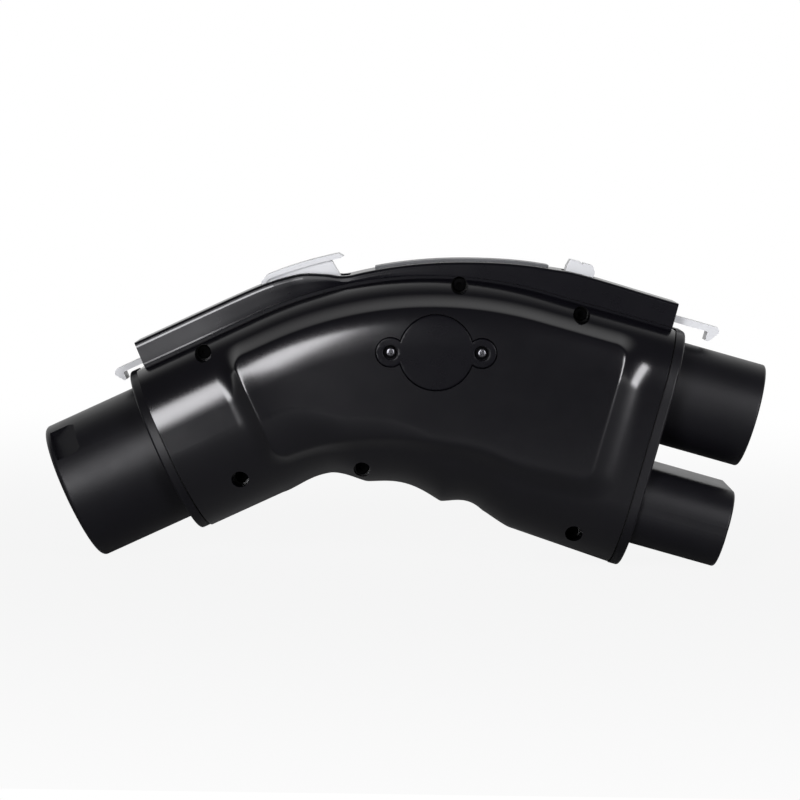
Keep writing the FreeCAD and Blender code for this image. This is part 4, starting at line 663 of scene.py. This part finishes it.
SIDE_LEAN = (70, 88, 3.2, 0.8)
START_LEAN = (28, 48, 0.5, 0.0)
STRIP_LEAN = (60, 84, 0.23, 0.08)

# Slots for pad and button: start, end and half width

PAD_SLOT = (60.7, 96.4, 8.8)
BUTTON_SLOT = (4.8, 19.0, 6.8)

# Polished strips: where they end, how high the lower one is and how far out they start

POLISH_END = 63
TOP_STRIP_END = 73
FOOT_STRIP_END = 86
FOOT_STRIP_HEIGHT = 0.75
STRIP_INSIDE = 12.5


def crest_height(station):
    """Height of the cover's top, a smooth curve through the crest points."""
    marks = np.array(CREST)
    s, h = marks[:, 0], marks[:, 1]
    slope = np.zeros(len(s))
    slope[1:-1] = (h[2:] - h[:-2]) / (s[2:] - s[:-2])
    span = np.clip(np.searchsorted(s, station, side="left") - 1, 1, len(s) - 3)
    width = s[span + 1] - s[span]
    t = (station - s[span]) / width
    return (
        (2 * t ** 3 - 3 * t ** 2 + 1) * h[span] + (t ** 3 - 2 * t ** 2 + t) * slope[span] * width
        + (3 * t ** 2 - 2 * t ** 3) * h[span + 1] + (t ** 3 - t ** 2) * slope[span + 1] * width
    )


def cover_rings(stations):
    """Sections of the cover: foot, leaning sides, rounded top edges."""
    top = crest_height(stations)
    lean = blend(stations, *SIDE_LEAN) - blend(stations, *START_LEAN)
    side_lean = lean - blend(stations, *STRIP_LEAN)
    side_top = top - COVER_EDGE - STRIP_HEIGHT
    shoulder = COVER_HALF - lean
    near = [
        (-FOOT_HALF + 0 * top, DECK + 0 * top),
        (-FOOT_HALF + 0 * top, COVER_FOOT + 0 * top),
        (-COVER_HALF + 0 * top, COVER_FOOT + FOOT_BEVEL + 0 * top),
    ]
    for part in (0.1, 0.4, 0.7, 1.0):
        near.append((
            -COVER_HALF + side_lean * part, COVER_FOOT + (side_top - COVER_FOOT) * part,
        ))
    for turn in np.radians(np.linspace(0, 90, 8)):
        near.append((
            -shoulder + COVER_EDGE * (1 - math.cos(turn)),
            top - COVER_EDGE + COVER_EDGE * math.sin(turn),
        ))
    near.append((-shoulder * 0.5, top))
    ys = np.stack([y for y, _ in near], 1)
    zs = np.stack([z for _, z in near], 1)
    ys = np.concatenate([ys, -ys[:, ::-1]], 1)
    zs = np.concatenate([zs, zs[:, ::-1]], 1)
    x, z = spine(stations[:, None] + 0 * zs, zs)
    return world(x, ys, z)


def along_spine(points):
    """Station and height of world points, the reverse of spine and world."""
    x = points[:, 0] / MM - SHIFT_X
    z = points[:, 2] / MM - SHIFT_Z
    x, z = x * COS + z * SIN, z * COS - x * SIN
    angle = np.clip(np.arctan2(x, z), -LEFT, RIGHT)
    along = x * np.cos(angle) - z * np.sin(angle)
    height = x * np.sin(angle) + z * np.cos(angle) - BEND
    return LEFT_RUN + BEND * (angle + LEFT) + along, height


def polish_strip(cover):
    """Polished finish on the narrow strips at the cover's edges, weaker past the straight run."""
    centres = np.array([tuple(face.center) for face in cover.data.polygons])
    station, height = along_spine(centres)
    strip_top = crest_height(station) - COVER_EDGE
    at_top = (height > strip_top - STRIP_HEIGHT) & (height < strip_top)
    at_foot = (height > COVER_FOOT) & (height < COVER_FOOT + FOOT_STRIP_HEIGHT)
    in_strip = (at_top & (station < TOP_STRIP_END)) | (at_foot & (station < FOOT_STRIP_END))
    in_strip &= np.abs(centres[:, 1]) > STRIP_INSIDE * MM
    index = in_strip * np.where(station < POLISH_END, 1, 2)
    for finish in ("cover_edge", "cover_edge_soft"):
        cover.data.materials.append(MATERIALS[finish])
    cover.data.polygons.foreach_set("material_index", index.astype(np.int32))


def latch_cover():
    """Cover along the deck: its channel, the slots for pad and button, and three screw holes."""
    stations = np.linspace(COVER_FROM, COVER_TO, 150)
    cover = tube("latch_cover_skin", cover_rings(stations))
    inner = np.linspace(COVER_FROM - 1, COVER_TO + 1, 70)
    rings = []
    for station, ceiling in zip(inner, crest_height(inner) - COVER_TOP):
        heights = np.array([DECK - 1, ceiling, ceiling, DECK - 1])
        x, z = spine(station + 0 * heights, heights)
        rings.append(world(x, CHANNEL_HALF * ACROSS, z))
    cutters = [
        tube("channel", np.array(rings)),
        straight_block("pad_slot", 0.0, *PAD_SLOT),
        straight_block("button_slot", RIGHT_TANGENT, *BUTTON_SLOT),
    ]
    for station, height in SCREW_PLACES[:3]:
        x, z = at_station(station, height)
        cutters.append(bored("access", x, z, ACCESS_RADIUS, -CLEAR, -CHANNEL_HALF, 64))
    return combine(cover, cutters, "DIFFERENCE")


def straight_block(name, origin, along_from, along_to, half):
    """Cutter from a straight run's centre line up and out, which may reach past the run's end."""
    base = np.array(at_station(origin, 0.0))
    angle = -LEFT if origin < LEFT_RUN else RIGHT
    along = np.array([math.cos(angle), -math.sin(angle)])
    up = np.array([math.sin(angle), math.cos(angle)])
    rings = []
    for reach in (along_from, along_to):
        low = base + reach * along
        high = low + CLEAR * up
        x, z = np.array([low, high, high, low]).T
        rings.append(world(x, half * ACROSS, z))
    return tube(name, np.array(rings))


# Service cap: its edge as steps of offset and depth below the skin, its hollow and its screws

CAP_EDGE = ((0.0, 5.2), (0.0, 0.5), (-0.05, 0.33), (-0.17, 0.2), (-0.35, CAP_SINK), (-0.35, -8.0))
CAP_HOLLOW_RADIUS = 10.6
CAP_HOLLOW_TOP = -37.1
RECESS_RADIUS = 3.05
RECESS_LIP = 0.25
SHANK_HOLE = 1.3
HEAD_SEAT = 2.6 - FACE


def hole_profile(surface, seat, radius):
    """Screw hole with a small round at its mouth."""
    turn = np.radians(np.linspace(0, 90, 6))
    wide = radius + RECESS_LIP
    mouth = [
        (surface + RECESS_LIP - RECESS_LIP * math.sin(t), wide - RECESS_LIP * math.cos(t))
        for t in turn
    ]
    return [(surface - 12, wide), (surface - 0.02, wide)] + mouth[::-1][1:] + [(seat, radius)]


def behind_cap():
    """All that lies deeper than the cap's seat."""
    return bored("behind_cap", CAP_X, CAP_Z, 40, CAP_SEAT, 0, 8)


def cap_form():
    """Block behind the panel's curved skin, a little below it, round the cap's place."""
    reach = CAP_RADIUS + 3
    rings = []
    for turn in np.linspace(-0.2, 0.2, 45):
        radius = CAP_Z + np.linspace(-reach, reach, 49)
        x, z = radius * math.sin(turn), radius * math.cos(turn)
        y = skin_y(x, z) + CAP_SINK
        x = np.concatenate([x, x[::-1]])
        z = np.concatenate([z, z[::-1]])
        rings.append(world(x, np.concatenate([y, -30 + 0 * y]), z))
    return tube("cap_form", np.array(rings))


def outline_tube(name, levels):
    """Closed solid through the cap's outline at steps of offset and depth below the skin."""
    rings = []
    for offset, sink in levels:
        points = cap_outline(offset)
        y = skin_y(points[:, 0], points[:, 1]) + sink
        rings.append(world(points[:, 0], y, points[:, 1]))
    return tube(name, np.array(rings))


def service_cap():
    """Cap flush with the panel, its rim rounded over."""
    cap = combine(outline_tube("service_cap_face", CAP_EDGE), [cap_form()], "INTERSECT")
    cutters = [
        behind_cap(),
        bored("hollow", CAP_X, CAP_Z, CAP_HOLLOW_RADIUS, CAP_HOLLOW_TOP, -30, 64),
    ]
    for x in (CAP_X - EAR_OFFSET, CAP_X + EAR_OFFSET):
        face = float(skin_y(x, CAP_Z)) + CAP_SINK
        recess = hole_profile(face, HEAD_SEAT, RECESS_RADIUS)
        cutters.append(turned_y("recess", x, CAP_Z, recess, 64))
        cutters.append(bored("shank", x, CAP_Z, SHANK_HOLE, -40, -30, 24))
    return combine(cap, cutters, "DIFFERENCE")


# Cap screws: domed head, its skirt as depth below the top and radius, and the plain shank

HEAD_TOP = HEAD_SEAT - 1.7
HEAD_RADIUS = 2.6
DOME_RADIUS = 1.45
DOME_DROP = 0.14
HEAD_SKIRT = ((0.4, 1.75), (0.8, 2.1), (1.2, HEAD_RADIUS - 0.1))
SHANK_RADIUS = 1.2
TIP_RADIUS = 0.8
SCREW_END = 8.0 - FACE

# Arms of their cross recess: half the length and width, the depth, and how far each cross turns

ARM_LENGTH = 1.2
ARM_WIDTH = 0.3
ARM_DEPTH = 0.9
CROSS_TURNS = ((-1, 0.5), (1, 1.1))


def cross_cutter(name, x, z, turn):
    """One tapering arm of a screw's cross recess."""
    rings = []
    for y, shrink in ((HEAD_TOP - 0.5, 0.0), (HEAD_TOP + ARM_DEPTH, 0.55)):
        length = ARM_LENGTH * (1 - shrink)
        width = ARM_WIDTH * (1 - 0.6 * shrink)
        corners = np.array([
            (-length, -width), (length, -width), (length, width), (-length, width),
        ])
        cos, sin = math.cos(turn), math.sin(turn)
        across = corners[:, 0] * cos - corners[:, 1] * sin
        up = corners[:, 0] * sin + corners[:, 1] * cos
        rings.append(world(x + across, y, z + up))
    return tube(name, np.array(rings))


def cap_screws():
    """Two cross-headed screws: domed heads with a steep skirt, and plain shanks."""
    made = []
    dome = [
        (HEAD_TOP + DOME_DROP * share ** 2, DOME_RADIUS * share)
        for share in np.linspace(0.04, 1, 7)
    ]
    skirt = [(HEAD_TOP + drop, radius) for drop, radius in HEAD_SKIRT]
    profile = dome + skirt + [
        (HEAD_SEAT, HEAD_RADIUS - 0.02), (HEAD_SEAT, SHANK_RADIUS),
        (SCREW_END - 0.5, SHANK_RADIUS), (SCREW_END, TIP_RADIUS),
    ]
    for side, turn in CROSS_TURNS:
        x = CAP_X + side * EAR_OFFSET
        head = turned_y("service_cap_screws_fine", x, CAP_Z, profile)
        arms = [cross_cutter("arm", x, CAP_Z, turn + quarter) for quarter in (0, math.pi / 2)]
        made.append(combine(head, arms, "DIFFERENCE"))
    return combine(made[0], made[1:], "UNION")


# Latch springs: radius of the wire, turns, and steps round the wire and along it

SPRING_WIRE = 0.33
SPRING_TURNS = 4.5
WIRE_STEPS = 12
COIL_STEPS = 144


def latch_coil(name, node):
    """Latch spring of round wire in the place of the frame's eight-sided one."""
    low, high = (np.array(corner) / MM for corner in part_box(node))
    middle = (low + high) / 2
    mean = (high[0] - low[0]) / 2 - SPRING_WIRE
    rings = []
    around = np.linspace(0, 2 * math.pi, WIRE_STEPS, endpoint=False)
    for share in np.linspace(0, 1, COIL_STEPS + 1):
        angle = 2 * math.pi * SPRING_TURNS * share
        reach = mean + SPRING_WIRE * np.cos(around)
        height = low[2] + SPRING_WIRE + (high[2] - low[2] - 2 * SPRING_WIRE) * share
        rings.append(np.stack([
            middle[0] + reach * math.cos(angle), middle[1] + reach * math.sin(angle),
            height + SPRING_WIRE * np.sin(around),
        ], -1) * MM)
    return tube(name, np.array(rings)), Vector((middle[0], middle[1], low[2])) * MM


# Materials

def node_setup(name):
    """Empty material with its tree, its shader and its coordinates."""
    material = bpy.data.materials.new(name)
    material.use_nodes = True
    tree = material.node_tree
    shader = tree.nodes["Principled BSDF"]
    coords = tree.nodes.new("ShaderNodeTexCoord")
    return material, tree, shader, coords


def noise(tree, coords, scale, detail):
    """Cloudy pattern fixed to the piece."""
    texture = tree.nodes.new("ShaderNodeTexNoise")
    texture.inputs["Scale"].default_value = scale
    texture.inputs["Detail"].default_value = detail
    texture.inputs["Roughness"].default_value = 0.55
    tree.links.new(coords.outputs["Object"], texture.inputs["Vector"])
    return texture.outputs["Fac"]


def ramp(tree, value, stops):
    """Colours between stops of a value."""
    node = tree.nodes.new("ShaderNodeValToRGB")
    elements = node.color_ramp.elements
    for index, (place, colour) in enumerate(stops):
        element = elements[index] if index < 2 else elements.new(place)
        element.position = place
        element.color = (*colour, 1.0)
    tree.links.new(value, node.inputs["Fac"])
    return node.outputs["Color"]


def spans(tree, value, low, high):
    """Value from nothing to one, spread between two levels."""
    node = tree.nodes.new("ShaderNodeMapRange")
    node.inputs["To Min"].default_value = low
    node.inputs["To Max"].default_value = high
    tree.links.new(value, node.inputs["Value"])
    return node.outputs["Result"]


def bump(tree, shader, height, strength, distance):
    """Relief on the surface."""
    node = tree.nodes.new("ShaderNodeBump")
    node.inputs["Strength"].default_value = strength
    node.inputs["Distance"].default_value = distance
    tree.links.new(height, node.inputs["Height"])
    tree.links.new(node.outputs["Normal"], shader.inputs["Normal"])


def plastic(name, colour, rough, uneven=0.05, grain=900.0, depth=0.00002, strength=0.3,
            level=0.5, vary=0.12):
    """Moulded plastic with a fine grain.

    uneven is the change of its roughness, vary that of its tone and level its shine. grain,
    depth and strength are the scale, height and share of its relief.
    """
    material, tree, shader, coords = node_setup(name)
    cloud = noise(tree, coords, 38.0, 4.0)
    dark = tuple(c * (1 - vary) for c in colour)
    light = tuple(min(c * (1 + vary), 1.0) for c in colour)
    tree.links.new(ramp(tree, cloud, ((0.3, dark), (0.7, light))), shader.inputs["Base Color"])
    gloss = noise(tree, coords, 120.0, 5.0)
    tree.links.new(
        spans(tree, gloss, rough - uneven, rough + uneven), shader.inputs["Roughness"]
    )
    shader.inputs["Specular IOR Level"].default_value = level
    bump(tree, shader, noise(tree, coords, grain, 2.0), strength, depth)
    return material


def metal(name, colour, rough, brushed=0.0):
    """Metal with fine scratches, drawn out along one way where it is brushed."""
    material, tree, shader, coords = node_setup(name)
    stretch = tree.nodes.new("ShaderNodeMapping")
    stretch.inputs["Scale"].default_value = (1.0, 1.0 + brushed, 1.0 + brushed)
    tree.links.new(coords.outputs["Object"], stretch.inputs["Vector"])
    lines = tree.nodes.new("ShaderNodeTexNoise")
    lines.inputs["Scale"].default_value = 700.0
    lines.inputs["Detail"].default_value = 3.0
    tree.links.new(stretch.outputs["Vector"], lines.inputs["Vector"])
    dark = tuple(c * 0.9 for c in colour)
    patch = noise(tree, coords, 160.0, 4.0)
    tree.links.new(ramp(tree, patch, ((0.3, dark), (0.75, colour))), shader.inputs["Base Color"])
    tree.links.new(
        spans(tree, lines.outputs["Fac"], rough * 0.7, rough * 1.3), shader.inputs["Roughness"]
    )
    shader.inputs["Metallic"].default_value = 1.0
    bump(tree, shader, lines.outputs["Fac"], 0.25, 0.00001)
    return material


# Finishes of the material slots, and the cover's two polished strips

COVER_BLACK = (0.004, 0.0038, 0.0057)


def cover_finish(name, rough, level):
    """The cover's plastic with a roughness and a level of shine."""
    return plastic(name, COVER_BLACK, rough, uneven=0.03, grain=1400.0, depth=0.000012,
                   strength=0.2, level=level, vary=0.08)


MATERIALS = {
    "shell_plastic": plastic(
        "shell_gloss", (0.0038, 0.0036, 0.0053), 0.19, uneven=0.02, grain=1500.0,
        depth=0.000012, strength=0.25, level=0.8, vary=0.08,
    ),
    "cover_plastic": cover_finish("cover_satin", 0.28, 0.22),
    "cover_edge": cover_finish("cover_polish", 0.2, 0.8),
    "cover_edge_soft": cover_finish("cover_burnish", 0.24, 0.4),
    "barrel_plastic": plastic(
        "barrel_grain", (0.005, 0.0048, 0.0066), 0.42, grain=1300.0, depth=0.00004,
        strength=0.5, level=0.32,
    ),
    "carrier_plastic": plastic(
        "carrier_matt", (0.012, 0.012, 0.013), 0.6, uneven=0.06, grain=1200.0, depth=0.00005,
        strength=0.5, level=0.4,
    ),
    "inlay_grey": plastic(
        "inlay_satin", (0.11, 0.112, 0.118), 0.42, grain=1600.0, depth=0.00003,
    ),
    "latch_plastic": plastic(
        "latch_white", (0.72, 0.73, 0.74), 0.38, grain=1300.0, strength=0.25, vary=0.03,
    ),
    "seal_rubber": plastic(
        "seal_soft", (0.009, 0.009, 0.009), 0.75, uneven=0.06, grain=1500.0, depth=0.00004,
    ),
    "contact_metal": metal("contact_plate", (0.78, 0.76, 0.71), 0.24),
    "bar_metal": metal("bar_copper", (0.74, 0.4, 0.24), 0.34, brushed=9.0),
    # Black screws, with colour and shine taken down further still: painted shade of the deep holes
    # they sit in
    "screw_black": plastic("screw_black_painted_hole_shade", (0.0014, 0.0014, 0.0016), 0.75, grain=1100.0, level=0.05),
    "screw_steel": metal("screw_bright", (0.2, 0.2, 0.215), 0.3, brushed=4.0),
    "axle_steel": metal("axle_ground", (0.6, 0.61, 0.62), 0.22, brushed=12.0),
    "spring_steel": metal("spring_wire", (0.5, 0.51, 0.52), 0.3, brushed=6.0),
    "board_green": plastic(
        "board_mask", (0.012, 0.12, 0.035), 0.3, uneven=0.06, grain=600.0, depth=0.00003,
    ),
    "part_black": plastic("part_moulded", (0.02, 0.02, 0.021), 0.45),
    "header_ivory": plastic("header_nylon", (0.62, 0.57, 0.44), 0.5),
    "cell_can": plastic("cell_sleeve", (0.04, 0.12, 0.32), 0.3, grain=500.0),
    "lead_orange": plastic("lead_jacket", (0.62, 0.17, 0.02), 0.48),
    "strap_green": plastic("strap_jacket", (0.08, 0.3, 0.06), 0.48),
}


def paint(obj, slot):
    """Give a piece the finish of a slot alone."""
    obj.data.materials.clear()
    obj.data.materials.append(MATERIALS[slot])


def finish_node(node, slot):
    """Give a frame node its finish and smooth shading."""
    obj = NODES[node]
    paint(obj, slot)
    obj.data.polygons.foreach_set("use_smooth", [True] * len(obj.data.polygons))


def dress(piece, body, slot, *nodes):
    """Finish a piece and put it in the place of the frame's own nodes."""
    paint(piece, slot)
    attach(piece, body)
    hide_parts(*nodes)


# Every node of the frame gets its finish, and five are replaced by finer pieces

for entry in frame["record"]["subparts"]:
    finish_node(entry["node"], entry["material_slot"])

for make, slot, node in (
    (near_shell, "shell_plastic", "near_shell"),
    (far_shell, "shell_plastic", "far_shell"),
    (latch_cover, "cover_plastic", "latch_cover"),
    (service_cap, "cover_plastic", "service_cap"),
    (cap_screws, "screw_steel", "service_cap_screws"),
):
    piece = make()
    smooth(piece)
    dress(piece, "housing", slot, node)
    if make is latch_cover:
        polish_strip(piece)

# Each latch spring is replaced by a round-wire coil; its joint and the share of its length listed
# beside it are not used

for node, joint, keep in (
    ("round_latch_spring", "round_latch_press", 0.66),
    ("combo_latch_spring", "combo_latch_press", 0.56),
):
    coil, foot = latch_coil(node + "_coil", node)
    smooth(coil)
    dress(coil, "housing", "spring_steel", node)
    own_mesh(coil)


# Floor, light and camera

def fade(tree, value, start, end, low, high):
    """Smooth step of a value from one level to another."""
    node = tree.nodes.new("ShaderNodeMapRange")
    node.interpolation_type = "SMOOTHSTEP"
    node.inputs["From Min"].default_value = start
    node.inputs["From Max"].default_value = end
    node.inputs["To Min"].default_value = low
    node.inputs["To Max"].default_value = high
    tree.links.new(value, node.inputs["Value"])
    return node.outputs["Result"]


def combined(tree, operation, first, second):
    """Two values put together by a named operation."""
    node = tree.nodes.new("ShaderNodeMath")
    node.operation = operation
    tree.links.new(first, node.inputs[0])
    tree.links.new(second, node.inputs[1])
    return node.outputs[0]


def looked_through(tree, ray):
    """One for rays that gloss, metal or glass sends on, and nothing for the rest."""
    return combined(
        tree, "MAXIMUM", ray.outputs["Is Glossy Ray"], ray.outputs["Is Transmission Ray"]
    )


def white_floor():
    """Pale floor that keeps the shadow and shows white to the camera, fully so further off."""
    mesh = bpy.data.meshes.new("floor")
    near, far, side = -0.44, 2.6, 2.0
    mesh.from_pydata(
        [(-side, near, 0), (side, near, 0), (side, far, 0), (-side, far, 0)], [], [(0, 1, 2, 3)]
    )
    floor = new_object("floor", mesh)
    material = bpy.data.materials.new("floor_paper")
    material.use_nodes = True
    tree = material.node_tree
    tree.nodes.clear()
    out = tree.nodes.new("ShaderNodeOutputMaterial")
    paper = tree.nodes.new("ShaderNodeBsdfDiffuse")
    paper.inputs["Color"].default_value = (0.3, 0.3, 0.3, 1)
    glow = tree.nodes.new("ShaderNodeEmission")
    glow.inputs["Color"].default_value = (1, 1, 1, 1)
    glow.inputs["Strength"].default_value = 1.0
    coords = tree.nodes.new("ShaderNodeTexCoord")
    reach = tree.nodes.new("ShaderNodeVectorMath")
    reach.operation = "LENGTH"
    tree.links.new(coords.outputs["Object"], reach.inputs[0])
    ray = tree.nodes.new("ShaderNodeLightPath")
    seen = combined(tree, "MULTIPLY", ray.outputs["Is Camera Ray"],
                    fade(tree, reach.outputs["Value"], 0.12, 0.75, 0.9, 1.0))
    sent_on = combined(tree, "MULTIPLY", looked_through(tree, ray),
                       fade(tree, reach.outputs["Value"], 0.3, 0.9, 0.0, 1.0))
    mix = tree.nodes.new("ShaderNodeMixShader")
    tree.links.new(combined(tree, "ADD", seen, sent_on), mix.inputs[0])
    tree.links.new(paper.outputs[0], mix.inputs[1])
    tree.links.new(glow.outputs[0], mix.inputs[2])
    tree.links.new(mix.outputs[0], out.inputs["Surface"])
    mesh.materials.append(material)


# Lamps, all at one distance from the adapter's middle

LAMP_AIM = Vector((0.0, 0.0, 0.065))
LAMP_DISTANCE = 1.5
LAMP_COLOUR = (0.975, 0.97, 1.0)


def softbox(name, direction, width, height, radiance):
    """Area light aimed at the adapter's middle, from an azimuth and an elevation in degrees."""
    lamp = bpy.data.lights.new(name, "AREA")
    lamp.shape = "RECTANGLE"
    lamp.size = width
    lamp.size_y = height
    lamp.energy = radiance * math.pi * width * height
    lamp.color = LAMP_COLOUR
    holder = bpy.data.objects.new(name, lamp)
    azimuth, elevation = (math.radians(a) for a in direction)
    away = Vector((
        math.sin(azimuth) * math.cos(elevation), -math.cos(azimuth) * math.cos(elevation),
        math.sin(elevation),
    ))
    holder.location = LAMP_AIM + away * LAMP_DISTANCE
    holder.rotation_euler = away.to_track_quat("Z", "Y").to_euler()
    bpy.context.scene.collection.objects.link(holder)


def studio_world():
    """White to the camera; to gloss, metal and glass white behind the part and dim before it."""
    scene_world = bpy.data.worlds.new("studio")
    scene_world.use_nodes = True
    tree = scene_world.node_tree
    background = tree.nodes["Background"]
    coords = tree.nodes.new("ShaderNodeTexCoord")
    split = tree.nodes.new("ShaderNodeSeparateXYZ")
    tree.links.new(coords.outputs["Generated"], split.inputs[0])
    back = fade(tree, split.outputs["Y"], 0.1, 0.85, 0.0, 1.0)
    level = fade(tree, split.outputs["Z"], 0.5, 0.95, 1.0, 0.4)
    backdrop = combined(tree, "MULTIPLY", back, level)
    ray = tree.nodes.new("ShaderNodeLightPath")
    seen = combined(tree, "MULTIPLY", backdrop, looked_through(tree, ray))
    white = combined(tree, "MAXIMUM", ray.outputs["Is Camera Ray"], seen)
    fill = spans(tree, backdrop, 0.045, 0.9)
    pick = tree.nodes.new("ShaderNodeMix")
    pick.data_type = "FLOAT"
    tree.links.new(white, pick.inputs[0])
    tree.links.new(fill, pick.inputs[2])
    pick.inputs[3].default_value = 1.0
    tree.links.new(pick.outputs[0], background.inputs["Strength"])
    background.inputs["Color"].default_value = (1, 1, 1, 1)
    bpy.context.scene.world = scene_world


# Camera: point and distance of the view, its angles, and its focal length in picture widths

VIEW_TARGET = Vector((-2.23, 0.0, 66.56)) * MM
VIEW_DISTANCE = 1.18
VIEW_ELEVATION = math.radians(5.0)
VIEW_ROLL = math.radians(0.826)
FOCAL_SHARE = 2816 / 800


def camera():
    """Slightly rolled view of the adapter from a little above its own level."""
    forward = Vector((0, math.cos(VIEW_ELEVATION), -math.sin(VIEW_ELEVATION)))
    level = Vector((1, 0, 0))
    upright = Vector((0, math.sin(VIEW_ELEVATION), math.cos(VIEW_ELEVATION)))
    right = level * math.cos(VIEW_ROLL) + upright * math.sin(VIEW_ROLL)
    up = upright * math.cos(VIEW_ROLL) - level * math.sin(VIEW_ROLL)
    lens = bpy.data.cameras.new("camera")
    lens.sensor_width = 36.0
    lens.lens = FOCAL_SHARE * lens.sensor_width
    lens.clip_start = 0.05
    eye = bpy.data.objects.new("camera", lens)
    turn = Matrix((right, up, -forward)).transposed()
    place = Matrix.Translation(VIEW_TARGET - forward * VIEW_DISTANCE)
    eye.matrix_world = place @ turn.to_4x4()
    bpy.context.scene.collection.objects.link(eye)
    bpy.context.scene.camera = eye


white_floor()
softbox("key_left", (-20.0, 13.5), 0.38, 1.06, 10.6)
softbox("key_right", (41.0, 14.5), 0.42, 0.98, 9.7)
softbox("low_right", (41.0, -13.0), 0.42, 0.6, 6.9)
studio_world()
camera()
bpy.context.scene.view_settings.view_transform = "Standard"
